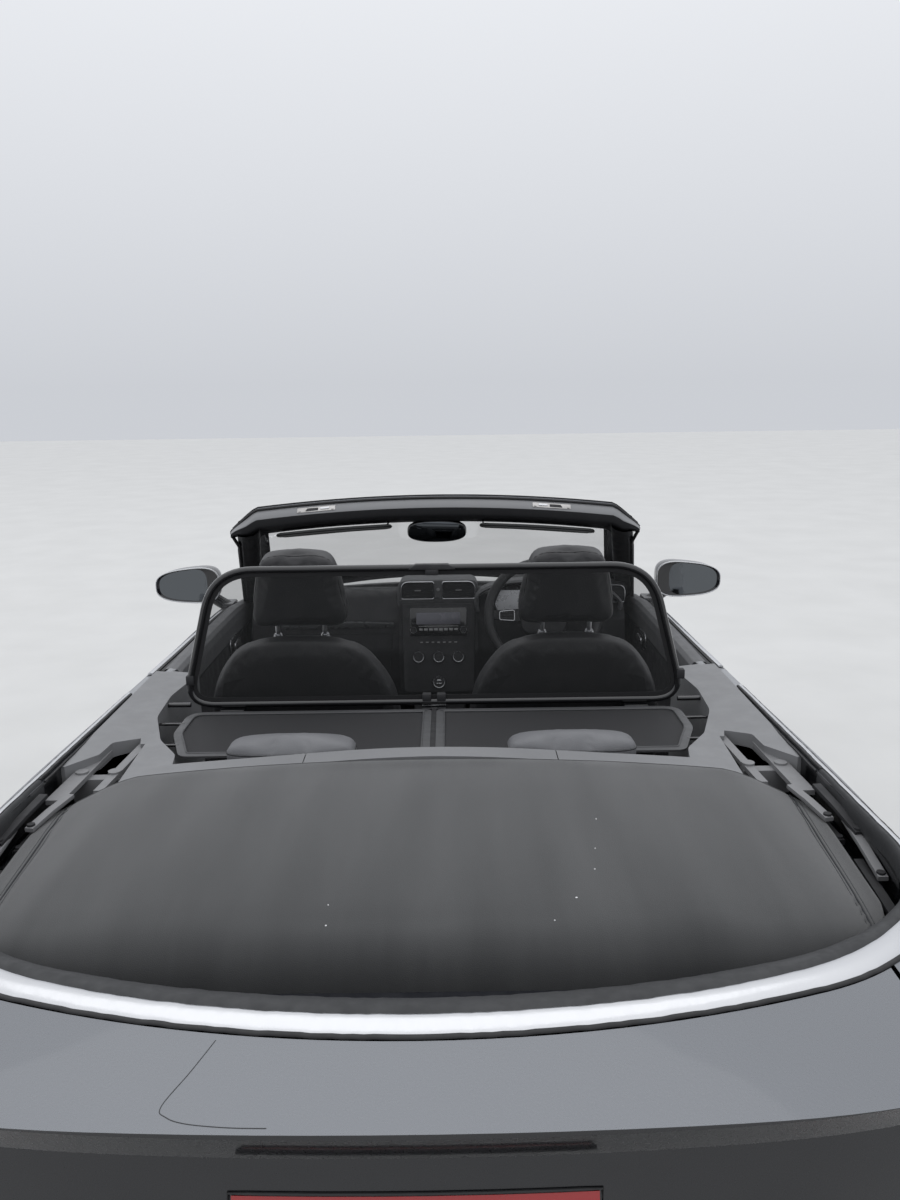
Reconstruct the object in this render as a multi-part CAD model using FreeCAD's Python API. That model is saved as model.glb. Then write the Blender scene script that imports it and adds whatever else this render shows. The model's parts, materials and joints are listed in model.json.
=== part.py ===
"""Open four-seat car with its fabric top folded behind the rear seats and a wind screen over them.

The origin is on the ground under the middle of the car. +Y points to the rear, +X to the
car's left side and +Z up. All lengths are in millimetres. The driver sits on the right (-X).
"""
import FreeCAD
import Part
import math
import os
import Sketcher
from FreeCAD import Placement, Rotation, Vector

doc = FreeCAD.newDocument("open_car")
sheet = doc.addObject("Spreadsheet::Sheet", "Sizes")

# name, value, what it is
SIZES = [
    ("car_length", 4246, "over both bumpers"),
    ("body_width", 1782, "over the body sides, mirrors folded out add to it"),
    ("wheelbase", 2578, "between the axles"),
    ("front_overhang", 880, "front bumper to front axle"),
    ("track_front", 1536, "between the front wheel centres"),
    ("track_rear", 1510, "between the rear wheel centres"),
    ("underside", 185, "height of the body's underside"),
    ("belt_height", 952, "height of the belt line beside the driver"),
    ("skin_side", 30, "thickness of the side skins with their flanges"),
    ("skin_top", 22, "thickness of the top skins"),
    ("skin_end", 40, "thickness of the bumper and lid skins at the ends"),
    ("shut_gap", 7, "gap round doors, lids and lamps"),
    ("arch_radius", 352, "wheel arch opening"),
    ("liner_wall", 6, "thickness of the wheel arch liners"),
    ("liner_inner_front", 470, "front liner's inner wall from the middle"),
    ("liner_inner_rear", 596, "rear liner's inner wall from the middle"),
    ("tyre_radius", 317, "tyre outside radius"),
    ("tyre_width", 225, "tyre section width"),
    ("rim_radius", 216, "rim seat radius"),
    ("rim_width", 196, "rim width over its flanges"),
    ("rim_wall", 9, "thickness of the rim barrel"),
    ("hub_radius", 76, "rim centre radius"),
    ("hub_bore", 33, "centre bore radius"),
    ("spoke_count", 5, "twin spokes"),
    ("disc_radius", 144, "brake disc radius"),
    ("disc_width", 22, "brake disc thickness"),
    ("door_front", -760, "front shut line of the doors"),
    ("door_rear", 340, "rear shut line of the doors"),
    ("door_inner", 710, "inner face of the doors from the middle"),
    ("sill_top", 235, "height of the door's lower edge"),
    ("bumper_top_front", 592, "top edge of the front bumper"),
    ("bumper_top_rear", 640, "top edge of the rear bumper"),
    ("bonnet_front_half", 600, "bonnet half width at its front edge"),
    ("bonnet_rear_half", 712, "bonnet half width at its rear edge"),
    ("bonnet_rear", -905, "rear corners of the bonnet"),
    ("bonnet_rear_bow", 105, "how far the bonnet's rear edge bows forward"),
    ("lid_half", 598, "boot lid half width"),
    ("strip_side", 777, "outer edge of the bright strip where its rear corner starts"),
    ("strip_rear", 1890, "rearmost point of the bright strip"),
    ("strip_width_side", 14, "width of the bright strip along the sides"),
    ("strip_width_rear", 48, "width of the bright strip across the rear"),
    ("strip_height", 8, "how far the bright strip stands proud"),
    ("strip_land", 8, "painted edge between the bright strip and the open well"),
    ("screen_base_half", 748, "half width of the windscreen at its base"),
    ("screen_top_half", 606, "half width of the windscreen at its header"),
    ("screen_base_y", -800, "windscreen base at its corners"),
    ("screen_base_z", 940, "height of the windscreen base at its corners"),
    ("screen_top_y", -95, "header's rear edge at its corners"),
    ("screen_top_z", 1332, "height of the header at its corners"),
    ("screen_depth", 54, "thickness of the windscreen pillars"),
    ("pillar_width", 72, "width of the windscreen pillars"),
    ("header_width", 118, "fore and aft width of the header"),
    ("glass_depth", 6, "thickness of the windscreen"),
    ("seat_x", 330, "seat centres from the middle"),
    ("seat_width", 472, "width of a front seat"),
    ("wheel_rim_radius", 184, "steering wheel rim's middle radius"),
    ("wheel_grip", 15, "half thickness of the steering wheel rim"),
    ("column_angle", 24, "steering column above the horizontal"),
    ("engine_length", 640, "engine and gearbox along the car"),
    ("engine_width", 480, "engine across the car"),
    ("engine_height", 500, "engine height over its sump"),
]
for row, (name, value, note) in enumerate(SIZES, start=1):
    sheet.set(f"A{row}", name)
    sheet.set(f"B{row}", str(value))
    sheet.set(f"C{row}", note)
    sheet.setAlias(f"B{row}", name)
doc.recompute()


def size(name):
    """The value of one cell of the sheet."""
    return float(sheet.get(name))


NODES = {}

# Stations are drawn for these overall sizes and follow the real ones in proportion
DRAWN_LENGTH = 4246
DRAWN_WIDTH = 1782
LENGTHWISE = size("car_length") / DRAWN_LENGTH
ACROSS = size("body_width") / DRAWN_WIDTH


def at(x, y, z):
    """A drawn position, carried to the car's real length and width."""
    return Vector(x * ACROSS, y * LENGTHWISE, z)


FRONT_END = -DRAWN_LENGTH / 2
REAR_END = DRAWN_LENGTH / 2
FRONT_AXLE = FRONT_END + size("front_overhang")
REAR_AXLE = FRONT_AXLE + size("wheelbase")
HALF_WIDTH = DRAWN_WIDTH / 2
HUB_HEIGHT = size("tyre_radius")
GAP = size("shut_gap")
BELT = size("belt_height")
UNDER = size("underside")
FAR = 3000


def side_point(x):
    """Maps (y, z) to a point at that x."""
    return lambda u, v: at(x, u, v)


def plan_point(z):
    """Maps (x, y) to a point at that height."""
    return lambda u, v: at(u, v, z)


def front_point(y):
    """Maps (x, z) to a point at that y."""
    return lambda u, v: at(u, y, v)


VIEWS = {
    "side": (side_point, Vector(1, 0, 0)),
    "plan": (plan_point, Vector(0, 0, 1)),
    "front": (front_point, Vector(0, 1, 0)),
}


def outline(points, place):
    """A closed wire through (u, v, corner radius) points, with arcs at the rounded corners."""
    corners = [(place(p[0], p[1]), p[2] if len(p) > 2 else 0) for p in points]
    ends = []
    count = len(corners)
    for i, (point, radius) in enumerate(corners):
        back = (corners[i - 1][0] - point).normalize()
        ahead = (corners[(i + 1) % count][0] - point).normalize()
        if radius <= 0:
            ends.append((point, None, point))
            continue
        half = back.getAngle(ahead) / 2
        reach = radius / math.tan(half)
        middle = (back + ahead).normalize()
        centre = point + middle * (radius / math.sin(half))
        ends.append((point + back * reach, centre - middle * radius, point + ahead * reach))
    edges = []
    for i, (start, middle, end) in enumerate(ends):
        if middle is not None:
            edges.append(Part.Arc(start, middle, end).toShape())
        following = ends[(i + 1) % count][0]
        if end.distanceToPoint(following) > 1e-6:
            edges.append(Part.makeLine(end, following))
    return Part.Wire(edges)


def prism(view, points, low, high, grow=0):
    """A solid whose outline in one view is given, from low to high across that view."""
    place, normal = VIEWS[view]
    wire = outline(points, place(low)) if isinstance(points, list) else points(place(low))
    if grow:
        wire = wire.makeOffset2D(grow)
    reach = at(normal.x, normal.y, normal.z) * (high - low)
    return Part.Face(wire).extrude(reach)


def box(x_low, x_high, y_low, y_high, z_low, z_high):
    """A plain block between two corners."""
    corner = at(x_low, y_low, z_low)
    reach = at(x_high, y_high, z_high) - corner
    return Part.makeBox(reach.x, reach.y, reach.z, corner)


def mirrored(shape):
    """The same shape on the other side of the car."""
    return shape.mirror(Vector(0, 0, 0), Vector(1, 0, 0))


def both_sides(shape):
    """A shape and its mirror image as one compound."""
    return Part.makeCompound([shape, mirrored(shape)])


def moved(shape, x, y, z):
    """A copy of a shape, shifted."""
    copy = shape.copy()
    copy.translate(Vector(x, y, z))
    return copy


def shape_node(label, shape):
    """Stores a computed shape as an object of the document and as a node."""
    feature = doc.addObject("Part::Feature", label)
    feature.Label = label
    feature.Shape = shape
    NODES[label] = feature
    return feature


def soft_block(profile, x_low, x_high, radius):
    """A padded block: a side profile drawn across x, its two side rims bevelled."""
    block = prism("side", profile, x_low, x_high)
    rims = [e for e in block.Edges if abs(e.BoundBox.XLength) < 0.01]
    return block.makeChamfer(radius * 0.6, rims)


def turned(shape, centre, axis, angle):
    """A copy of a shape, turned about an axis through a point."""
    copy = shape.copy()
    copy.rotate(centre, axis, angle)
    return copy


def rod(start, end, radius):
    """A round rod between two points."""
    return Part.makeCylinder(radius, start.distanceToPoint(end), start, end - start)


X_AXIS = Vector(1, 0, 0)
Y_AXIS = Vector(0, 1, 0)
Z_AXIS = Vector(0, 0, 1)

# The body's outer form: sections along the car, then the nose and tail profiles across it.
# station, side height, side inset, shoulder drop, shoulder inset, belt rise, belt inset, crown rise
SIDE_TABLE = [
    (FRONT_END - 77, 470, 41, 50, 91, -262, 201, 16),
    (FRONT_END + 223, 490, 19, 52, 61, -200, 179, 26),
    (FRONT_AXLE, 560, 2, 68, 43, -84, 149, 37),
    (FRONT_AXLE + 483, 590, 0, 75, 41, -27, 121, 53),
    (FRONT_AXLE + 1243, 590, 0, 80, 45, 0, 99, 33),
    (REAR_AXLE - 535, 600, 0, 84, 49, 20, 99, 28),
    (REAR_AXLE, 610, 3, 85, 57, 33, 109, 35),
    (REAR_END - 323, 610, 23, 85, 91, 38, 156, 22),
    (REAR_END + 77, 600, 51, 70, 131, -2, 201, 25),
]
BOTTOM_INSET = 84
BULGE_LOW = 14
BULGE_SIDE = 8
BULGE_SHOULDER = 9

# height in the nose profile, how far back from the foremost point
NOSE_PROFILE = [(-10, 133), (40, 33), (145, 0), (335, 0), (415, 25), (465, 41), (527, 75), (595, 103)]
# height above the underside in the tail profile, how far forward from the rearmost point
TAIL_PROFILE = [(803, 98), (770, 111), (575, 63), (505, 38), (455, 0), (245, 0), (75, 38), (15, 133)]
# distance from the middle, how far the nose and the tail fall back there
SWEEP_TABLE = [(0, 0, 0), (300, 12, 10), (550, 60, 45), (720, 150, 120), (850, 330, 290), (905, 480, 420)]
PROFILE_TOP = 1400
NOSE_TOP_BACK = 223


def bulged(start, end, amount, outward):
    """An arc from start to end that stands out by amount."""
    return Part.Arc(start, (start + end) * 0.5 + outward * amount, end).toShape()


def body_section(row, side, top, below):
    """One cross-section of the body as a closed wire of lines and arcs."""
    y, side_z, side_in, drop, shoulder_in, rise, belt_in, crown = row
    belt_z = BELT + rise - top
    corners = [
        at(HALF_WIDTH - BOTTOM_INSET - side, y, UNDER - below),
        at(HALF_WIDTH - side_in - side, y, side_z),
        at(HALF_WIDTH - shoulder_in - side, y, belt_z - drop),
        at(HALF_WIDTH - belt_in - side, y, belt_z),
    ]
    opposite = [Vector(-p.x, p.y, p.z) for p in corners]
    out = Vector(1, 0, 0)
    up_out = Vector(0.6, 0, 0.8)
    up_in = Vector(-0.6, 0, 0.8)
    edges = [
        bulged(corners[0], corners[1], BULGE_LOW, out),
        bulged(corners[1], corners[2], BULGE_SIDE, out),
        bulged(corners[2], corners[3], BULGE_SHOULDER, up_out),
        Part.Arc(corners[3], at(0, y, belt_z + crown), opposite[3]).toShape(),
        bulged(opposite[3], opposite[2], BULGE_SHOULDER, up_in),
        bulged(opposite[2], opposite[1], BULGE_SIDE, out * -1),
        bulged(opposite[1], opposite[0], BULGE_LOW, out * -1),
        Part.makeLine(opposite[0], corners[0]),
    ]
    return Part.Wire(edges)


def end_section(x, nose_back, tail_back, ends, below):
    """The car's side view at one distance from the middle, as a closed wire."""
    nose = [at(x, FRONT_END + back + nose_back + ends, UNDER + z) for z, back in NOSE_PROFILE]
    tail = [at(x, REAR_END - back - tail_back - ends, UNDER + z) for z, back in TAIL_PROFILE]
    nose[0].z -= below
    tail[-1].z -= below
    roof = [
        at(x, FRONT_END + NOSE_TOP_BACK + nose_back + ends, PROFILE_TOP),
        at(x, REAR_END - TAIL_PROFILE[0][1] - tail_back - ends, PROFILE_TOP),
    ]
    points = nose + roof + tail
    return Part.makePolygon(points + [points[0]])


def hull(side=0, top=0, ends=0, below=0):
    """The whole body form, drawn in by the given amounts."""
    along = Part.makeLoft([body_section(row, side, top, below) for row in SIDE_TABLE], True, False)
    rows = [(-x, nose, tail) for x, nose, tail in reversed(SWEEP_TABLE[1:])] + SWEEP_TABLE
    across = Part.makeLoft([end_section(x, n, t, ends, below) for x, n, t in rows], True, False)
    return along.common(across)


def u_outline(side_x, rear_y, corner_radius=420, widening=14, rear_radius=1480):
    """A plan outline whose sides narrow to a bowed rear edge, joined to it by arcs."""
    front_x = side_x + widening
    front_y = 0
    centre_y = rear_y - rear_radius
    inner_x = side_x - corner_radius
    corner_y = centre_y + math.sqrt((rear_radius - corner_radius) ** 2 - inner_x ** 2)
    share = rear_radius / (rear_radius - corner_radius)
    meet_x = inner_x * share
    meet_y = centre_y + (corner_y - centre_y) * share
    lean = math.atan2(corner_y - centre_y, inner_x) / 2
    mid_x = inner_x + corner_radius * math.cos(lean)
    mid_y = corner_y + corner_radius * math.sin(lean)

    def draw(place):
        return Part.Wire([
            Part.makeLine(place(-front_x, front_y), place(front_x, front_y)),
            Part.makeLine(place(front_x, front_y), place(side_x, corner_y)),
            Part.Arc(place(side_x, corner_y), place(mid_x, mid_y), place(meet_x, meet_y)).toShape(),
            Part.Arc(place(meet_x, meet_y), place(0, rear_y), place(-meet_x, meet_y)).toShape(),
            Part.Arc(place(-meet_x, meet_y), place(-mid_x, mid_y), place(-side_x, corner_y)).toShape(),
            Part.makeLine(place(-side_x, corner_y), place(-front_x, front_y)),
        ])
    return draw


OUTER = hull()
INNER = hull(size("skin_side"), size("skin_top"), size("skin_end"), 60)
ARCHES = [
    Part.makeCylinder(size("arch_radius"), 2 * FAR, at(-FAR, y, HUB_HEIGHT), Vector(1, 0, 0))
    for y in (FRONT_AXLE, REAR_AXLE)
]
SHELL = OUTER.cut(INNER).cut(ARCHES)
print("shell", SHELL.isValid(), len(SHELL.Faces), SHELL.Volume / 1e9)

# Regions that part the outer panels from each other


def bonnet_outline(place):
    """Bonnet outline in plan, open in front of the nose, with its rear edge bowed forward."""
    front = size("bonnet_front_half")
    rear = size("bonnet_rear_half")
    rear_y = size("bonnet_rear")
    bow_y = rear_y - size("bonnet_rear_bow")
    ahead = FRONT_END - 200
    return Part.Wire([
        Part.makeLine(place(-front, ahead), place(front, ahead)),
        Part.makeLine(place(front, ahead), place(rear, rear_y)),
        Part.Arc(place(rear, rear_y), place(0, bow_y), place(-rear, rear_y)).toShape(),
        Part.makeLine(place(-rear, rear_y), place(-front, ahead)),
    ])


HALF_GAP = GAP / 2
SEAT_GAP = 0.3
NOSE_LINE = size("bumper_top_front")
LAMP_TOP = NOSE_LINE + 108
TAIL_LINE = size("bumper_top_rear")
BONNET_IN = prism("plan", bonnet_outline, 500, 1300, -HALF_GAP)
BONNET_OUT = prism("plan", bonnet_outline, 500, 1300, HALF_GAP)
FRONT_LINE = [(-2300, 100), (-1500, 100), (-1560, 540), (-1840, NOSE_LINE), (-2300, NOSE_LINE)]
REAR_LINE = [(2300, 100), (1600, 100), (1660, 590), (1900, TAIL_LINE), (2300, TAIL_LINE)]
FRONT_LOW = prism("side", FRONT_LINE, -FAR, FAR)
REAR_LOW = prism("side", REAR_LINE, -FAR, FAR)
LAMP_LINE = [(-2300, NOSE_LINE), (-1840, NOSE_LINE), (-1775, LAMP_TOP), (-2300, LAMP_TOP)]
TAIL_LAMP_LINE = [(2300, 668), (1985, 668), (1925, 806), (2300, 806)]
STRIP_OUT = prism("plan", u_outline(size("strip_side"), size("strip_rear")), 700, 1200)
STRIP_CLEAR = prism("plan", u_outline(size("strip_side"), size("strip_rear") + GAP), 500, 1300)


def well_prism(inset):
    """The opening inside the bright strip, drawn in by the given amount."""
    land = size("strip_land") + inset
    side = size("strip_side") - size("strip_width_side") - land
    rear = size("strip_rear") - size("strip_width_rear") - land
    return prism("plan", u_outline(side, rear, 395 - land, 4, 1480 - land), 500, 1300)


WELL = well_prism(0)
WELL_SEAT = well_prism(SEAT_GAP)
WELL_ROOM = well_prism(9)
lid_half = size("lid_half")
LID_OUTLINE = [
    (-lid_half, 1300), (lid_half, 1300), (lid_half, 800), (lid_half - 25, TAIL_LINE + GAP),
    (25 - lid_half, TAIL_LINE + GAP), (-lid_half, 800),
]
LID_IN = prism("front", LID_OUTLINE, 1600, 2300).cut(STRIP_CLEAR)
LID_OUT = prism("front", LID_OUTLINE, 1600, 2300, GAP).cut(STRIP_OUT)

# Bonnet, wings, cowl and the nose
bonnet = SHELL.common(BONNET_IN).common(box(-FAR, FAR, -2300, -800, LAMP_TOP + GAP, 1300))
shape_node("bonnet", bonnet)

lamp_region = prism("side", LAMP_LINE, -FAR, FAR)
headlamp = SHELL.common(lamp_region.common(box(424, 1000, -2300, -1700, 500, 800)))
shape_node("headlamps", both_sides(headlamp))

door_front_cut = size("door_front") - HALF_GAP
cowl_half = size("bonnet_rear_half") - 3
cowl_narrow = cowl_half - 19
wing_zone = box(0, 1000, -2300, door_front_cut, UNDER - 20, 1300)
lamp_clear = prism("side", LAMP_LINE, 400, FAR, 0.5)
wing = SHELL.common(wing_zone).cut([BONNET_OUT, FRONT_LOW, lamp_clear, box(-1, 718, -2300, 0, 0, 600)])
wing = wing.cut([
    box(-1, cowl_half, -1000, 0, 0, 1300), box(-1, 417, -2300, -1000, 0, 1300),
    box(0, 1000, FRONT_AXLE + 350, 0, 0, size("sill_top") - GAP),
])
shape_node("front_wings", both_sides(wing))

cowl_plan = [
    (cowl_half, -800), (cowl_half, -902), (cowl_narrow, -1050), (-cowl_narrow, -1050), (-cowl_half, -902),
    (-cowl_half, -800),
]
cowl = SHELL.common(prism("plan", cowl_plan, 700, 1300)).cut(BONNET_OUT)
shape_node("cowl_panel", cowl)

intake = prism("front", [(-430, 262, 30), (430, 262, 30), (380, 405, 30), (-380, 405, 30)], -2300, -1900)
plate_outline = [(-262, 432, 8), (262, 432, 8), (262, 548, 8), (-262, 548, 8)]
plinth_y = FRONT_END + 4
bumper = SHELL.common(FRONT_LOW).cut([intake, prism("front", plate_outline, -2300, plinth_y)])
bumper = bumper.fuse(prism("front", plate_outline, plinth_y, plinth_y + 30))
shape_node("front_bumper", bumper)

grille_zone = box(-417, 417, -2300, -1900, NOSE_LINE, LAMP_TOP)
grille = moved(SHELL, 0, 10, 0).common(grille_zone).common(SHELL)
lower_grille = moved(SHELL, 0, 14, 0).common(intake).common(SHELL)
shape_node("grille", Part.makeCompound([grille, lower_grille]))

# Doors: whole slabs with a slanted rear face that lets them swing past the rear quarter
SLANT = 0.25


def slant_y(x, shut):
    """Where the slanted shut line of the door lies at that x."""
    return size("door_rear") + shut + SLANT * (x - HALF_WIDTH)


inner_x = size("door_inner")
door_front_y = size("door_front") + HALF_GAP
door_plan = [
    (inner_x, door_front_y), (1000, door_front_y),
    (1000, slant_y(1000, -HALF_GAP)), (inner_x, slant_y(inner_x, -HALF_GAP)),
]
door = OUTER.common(prism("plan", door_plan, size("sill_top"), 1300))
door = door.cut(box(600, 757, -800, -650, 895, 1300))
handle_outline = [(110, 796, 12), (296, 806, 12), (296, 832, 12), (110, 822, 12)]
handle = moved(OUTER, 30, 0, 0).common(prism("side", handle_outline, 780, 940)).cut(moved(OUTER, 16, 0, 0))
grips = [prism("side", [(y, 798), (y + 26, 799), (y + 26, 829), (y, 828)], 800, 940) for y in (118, 262)]
feet = [moved(OUTER, 20, 0, 0).common(grip) for grip in grips]
door = door.fuse([handle] + feet)
shape_node("door_left", door)
shape_node("door_right", mirrored(door))

sill_outer = OUTER.common(box(650, 1000, FRONT_AXLE + 362, REAR_AXLE - 362, 0, size("sill_top") - GAP))
sill_inner = box(604, 700, -850, 960, UNDER, 370)
pads = [
    prism("plan", [(640, y - 34, 8), (704, y - 34, 8), (704, y + 34, 8), (640, y + 34, 8)], UNDER - 8, UNDER + 4)
    for y in (size("door_front") + 10, size("door_rear") + 500)
]
pillar = INNER.common(box(700, 1000, FRONT_AXLE + 362, door_front_cut, size("sill_top") - GAP, 880))
shape_node("sills", both_sides(sill_outer.fuse([sill_inner, pillar] + pads)))

# Rear quarters with the bridge behind the roof well, lid, lamps, rear bumper
THICK = hull(64, size("skin_top"), size("skin_end"), 60)
quarter_plan = [
    (0, slant_y(0, HALF_GAP)), (1000, slant_y(1000, HALF_GAP)), (1000, 2300), (0, 2300),
]
quarter = OUTER.cut(THICK).cut(ARCHES).common(prism("plan", quarter_plan, UNDER - 20, 1300))
lamp_gap = prism("side", TAIL_LAMP_LINE, 500, FAR, 0.5)
quarter = quarter.cut([WELL, LID_OUT, REAR_LOW, lamp_gap])
quarter = quarter.cut([
    box(-1, 590, 0, 1700, 0, 1300), box(590, FAR, 0, REAR_AXLE - 100, 0, size("sill_top") - GAP),
])
striker_plan = [
    (838, slant_y(838, SEAT_GAP - HALF_GAP)), (868, slant_y(868, SEAT_GAP - HALF_GAP)),
    (868, slant_y(868, HALF_GAP)), (838, slant_y(838, HALF_GAP)),
]
quarter = quarter.fuse(prism("plan", striker_plan, 560, 600))
shape_node("rear_quarters", quarter.fuse(mirrored(quarter)))

tail_lamp = SHELL.common(prism("side", TAIL_LAMP_LINE, lid_half + GAP, FAR))
shape_node("tail_lamps", both_sides(tail_lamp))

lid_lamp_zone = [(395, 700, 8), (590, 690, 8), (590, 790, 8), (430, 790, 8)]
lid_lamp_side = prism("front", lid_lamp_zone, 1900, 2300)
lid_lamp = SHELL.common(lid_lamp_side).common(LID_IN)
lid = SHELL.common(LID_IN)
shape_node("boot_lid", lid.cut([lid_lamp_side, mirrored(lid_lamp_side)]))
shape_node("lid_lamps", both_sides(lid_lamp))

plate_rear = prism("front", [(-270, 440, 10), (270, 440, 10), (250, 575, 10), (-250, 575, 10)], 2105, 2300)
tip_notch = prism("front", [(-512, 100), (-358, 100), (-358, 284, 30), (-512, 284, 30)], 1800, 2300)
rear_bumper = SHELL.common(REAR_LOW).cut([plate_rear, tip_notch])
lid_buffer = rod(at(400, 2080, TAIL_LINE - 1), at(400, 2080, TAIL_LINE + GAP - SEAT_GAP), 8)
shape_node("rear_bumper", rear_bumper.fuse([lid_buffer, mirrored(lid_buffer)]))

strip_hull = moved(OUTER, 0, 0, size("strip_height"))
strip_in = u_outline(
    size("strip_side") - size("strip_width_side"), size("strip_rear") - size("strip_width_rear"), 395)
strip_zone = STRIP_OUT.cut(prism("plan", strip_in, 600, 1300))
strip_zone = strip_zone.common(box(-FAR, FAR, size("door_rear") + GAP, 2300, 0, 1300))
strip = strip_hull.common(strip_zone).cut(OUTER).common(box(-FAR, FAR, 0, 2300, 900, 1300))
shape_node("belt_strip", strip)

# Wheel arch liners: a half shell round each wheel and the wall inside it
liners = []
for axle, inner, bound in (
    (FRONT_AXLE, size("liner_inner_front"), INNER),
    (REAR_AXLE, size("liner_inner_rear"), THICK),
):
    outer_radius = size("arch_radius") + size("liner_wall")
    wall = size("liner_wall")
    drum = Part.makeCylinder(outer_radius, 500, at(inner, axle, HUB_HEIGHT), Vector(1, 0, 0))
    room = Part.makeCylinder(
        size("arch_radius"), 600, at(inner + wall, axle, HUB_HEIGHT), Vector(1, 0, 0))
    liner = drum.cut(room).common(box(0, 1000, axle - 400, axle + 400, HUB_HEIGHT + 18, 900))
    liners.append(both_sides(liner.common(bound)))
shape_node("wheel_arch_liners", Part.makeCompound(liners))

# Windscreen frame and glass on one bowed, leaning surface
SCREEN_RISE = math.hypot(size("screen_top_y") - size("screen_base_y"),
                         size("screen_top_z") - size("screen_base_z"))
SCREEN_OUT = Vector(
    0,
    -(size("screen_top_z") - size("screen_base_z")) / SCREEN_RISE,
    (size("screen_top_y") - size("screen_base_y")) / SCREEN_RISE)
BASE_BOW = 107
TOP_BOW = 76
HEADER_BOW = 55


def screen_wire(share, inset, shallow, deep):
    """Section of the screen at a share of its rise, between two depths under its surface."""
    half = size("screen_base_half") * (1 - share) + size("screen_top_half") * share
    y = size("screen_base_y") * (1 - share) + size("screen_top_y") * share
    z = size("screen_base_z") * (1 - share) + size("screen_top_z") * share
    bow = SCREEN_OUT * (BASE_BOW * (1 - share) + TOP_BOW * share)
    reach = half - inset
    end_bow = bow * (1 - (reach / half) ** 2)
    edges = []
    arcs = []
    for depth in (shallow, deep):
        shift = SCREEN_OUT * -depth
        left = at(reach, y, z) + end_bow + shift
        middle = at(0, y, z) + bow + shift
        right = at(-reach, y, z) + end_bow + shift
        arcs.append((left, middle, right))
    edges.append(Part.Arc(*arcs[0]).toShape())
    edges.append(Part.makeLine(arcs[0][2], arcs[1][2]))
    edges.append(Part.Arc(arcs[1][2], arcs[1][1], arcs[1][0]).toShape())
    edges.append(Part.makeLine(arcs[1][0], arcs[0][0]))
    return Part.Wire(edges)


def screen_slab(low, high, inset, shallow, deep):
    """The part of the screen between two shares of its rise."""
    return Part.makeLoft(
        [screen_wire(low, inset, shallow, deep), screen_wire(high, inset, shallow, deep)], True, True)



def header_outline(place):
    """Plan area ahead of the header's bowed rear edge."""
    half = size("screen_top_half") + 60
    y = size("screen_top_y")
    corner_y = y + 15
    return Part.Wire([
        Part.makeLine(place(-half - 300, -1300), place(half + 300, -1300)),
        Part.makeLine(place(half + 300, -1300), place(half, corner_y)),
        Part.Arc(place(half, corner_y), place(0, y - HEADER_BOW), place(-half, corner_y)).toShape(),
        Part.makeLine(place(-half, corner_y), place(-half - 300, -1300)),
    ])


header_share = 1 - (size("header_width") + 45) / SCREEN_RISE
header_zone = prism("plan", header_outline, 500, 1600)
frame = screen_slab(-0.3, 1.1, 0, 0, size("screen_depth"))
opening = screen_slab(-0.4, header_share, size("pillar_width"), -20, size("screen_depth") + 20)
frame = frame.cut(opening).common(header_zone).cut(OUTER)
shape_node("windscreen_frame", frame)
glass = screen_slab(-0.3, header_share, size("pillar_width"), 14, 14 + size("glass_depth"))
shape_node("windscreen", glass.cut(OUTER))
print("outside done", {k: v.Shape.isValid() for k, v in NODES.items() if not v.Shape.isValid()})

# Structure under the panels
floor_profile = [
    (-604, 190), (-82, 190), (-72, 312), (72, 312), (82, 190), (604, 190),
    (604, 210), (99, 210), (90, 330), (-90, 330), (-99, 210), (-604, 210),
]
step_profile = [(974, 190), (990, 190), (990, 330), (2020, 330), (2020, 346), (974, 346)]
floor = prism("front", floor_profile, -850, 974).fuse(prism("side", step_profile, -588, 588).common(INNER))
floor = floor.cut(rod(at(0, 900, 214), at(0, 1100, 214), 26))
shape_node("floor_pan", floor)

leg = prism("side", [(-2020, 380), (-850, 380), (-850, 460), (-2020, 460)], 392, 460)
front_beam = INNER.common(box(-560, 560, -2300, -2020, 386, 454))
slam_profile = [(-2010, 640, 6), (-1960, 640, 6), (-1960, 668, 6), (-2010, 668, 6)]
slam_panel = prism("side", slam_profile, -400, 400)
posts = both_sides(prism("side", [(-2010, 460), (-1985, 460), (-1985, 640), (-2010, 640)], 392, 400))
under_bonnet = moved(INNER, 0, 0, -SEAT_GAP)
buffer = under_bonnet.common(rod(at(340, -1984, 660), at(340, -1984, 900), 12))
shape_node("front_legs", both_sides(leg).fuse([front_beam, slam_panel, posts, buffer, mirrored(buffer)]))
rear_beam = INNER.common(box(-560, 560, 2020, 2300, 330, 420))
shape_node("rear_beam", rear_beam)

firewall = box(-700, 700, -874, -850, 212, 880)
wheel_room = box(460, 800, -900, -800, 0, 700)
firewall = firewall.cut([both_sides(wheel_room), both_sides(box(392, 460, -900, -800, 380, 460))])
rear_wall = box(-588, 588, 1006, 1030, 346, 940)
roof_tray = prism("side", [(1030, 866), (1736, 866), (1748, 872, 6), (1736, 880), (1030, 880)], -588, 588)
tray_wing = box(604, 742, 856, 1120, 866, 880).fuse(box(580, 742, 1032, 1120, 866, 880))
rear_structure = rear_wall.fuse([roof_tray, both_sides(tray_wing)])
shape_node("bulkheads", Part.makeCompound([firewall, rear_structure]))

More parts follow.
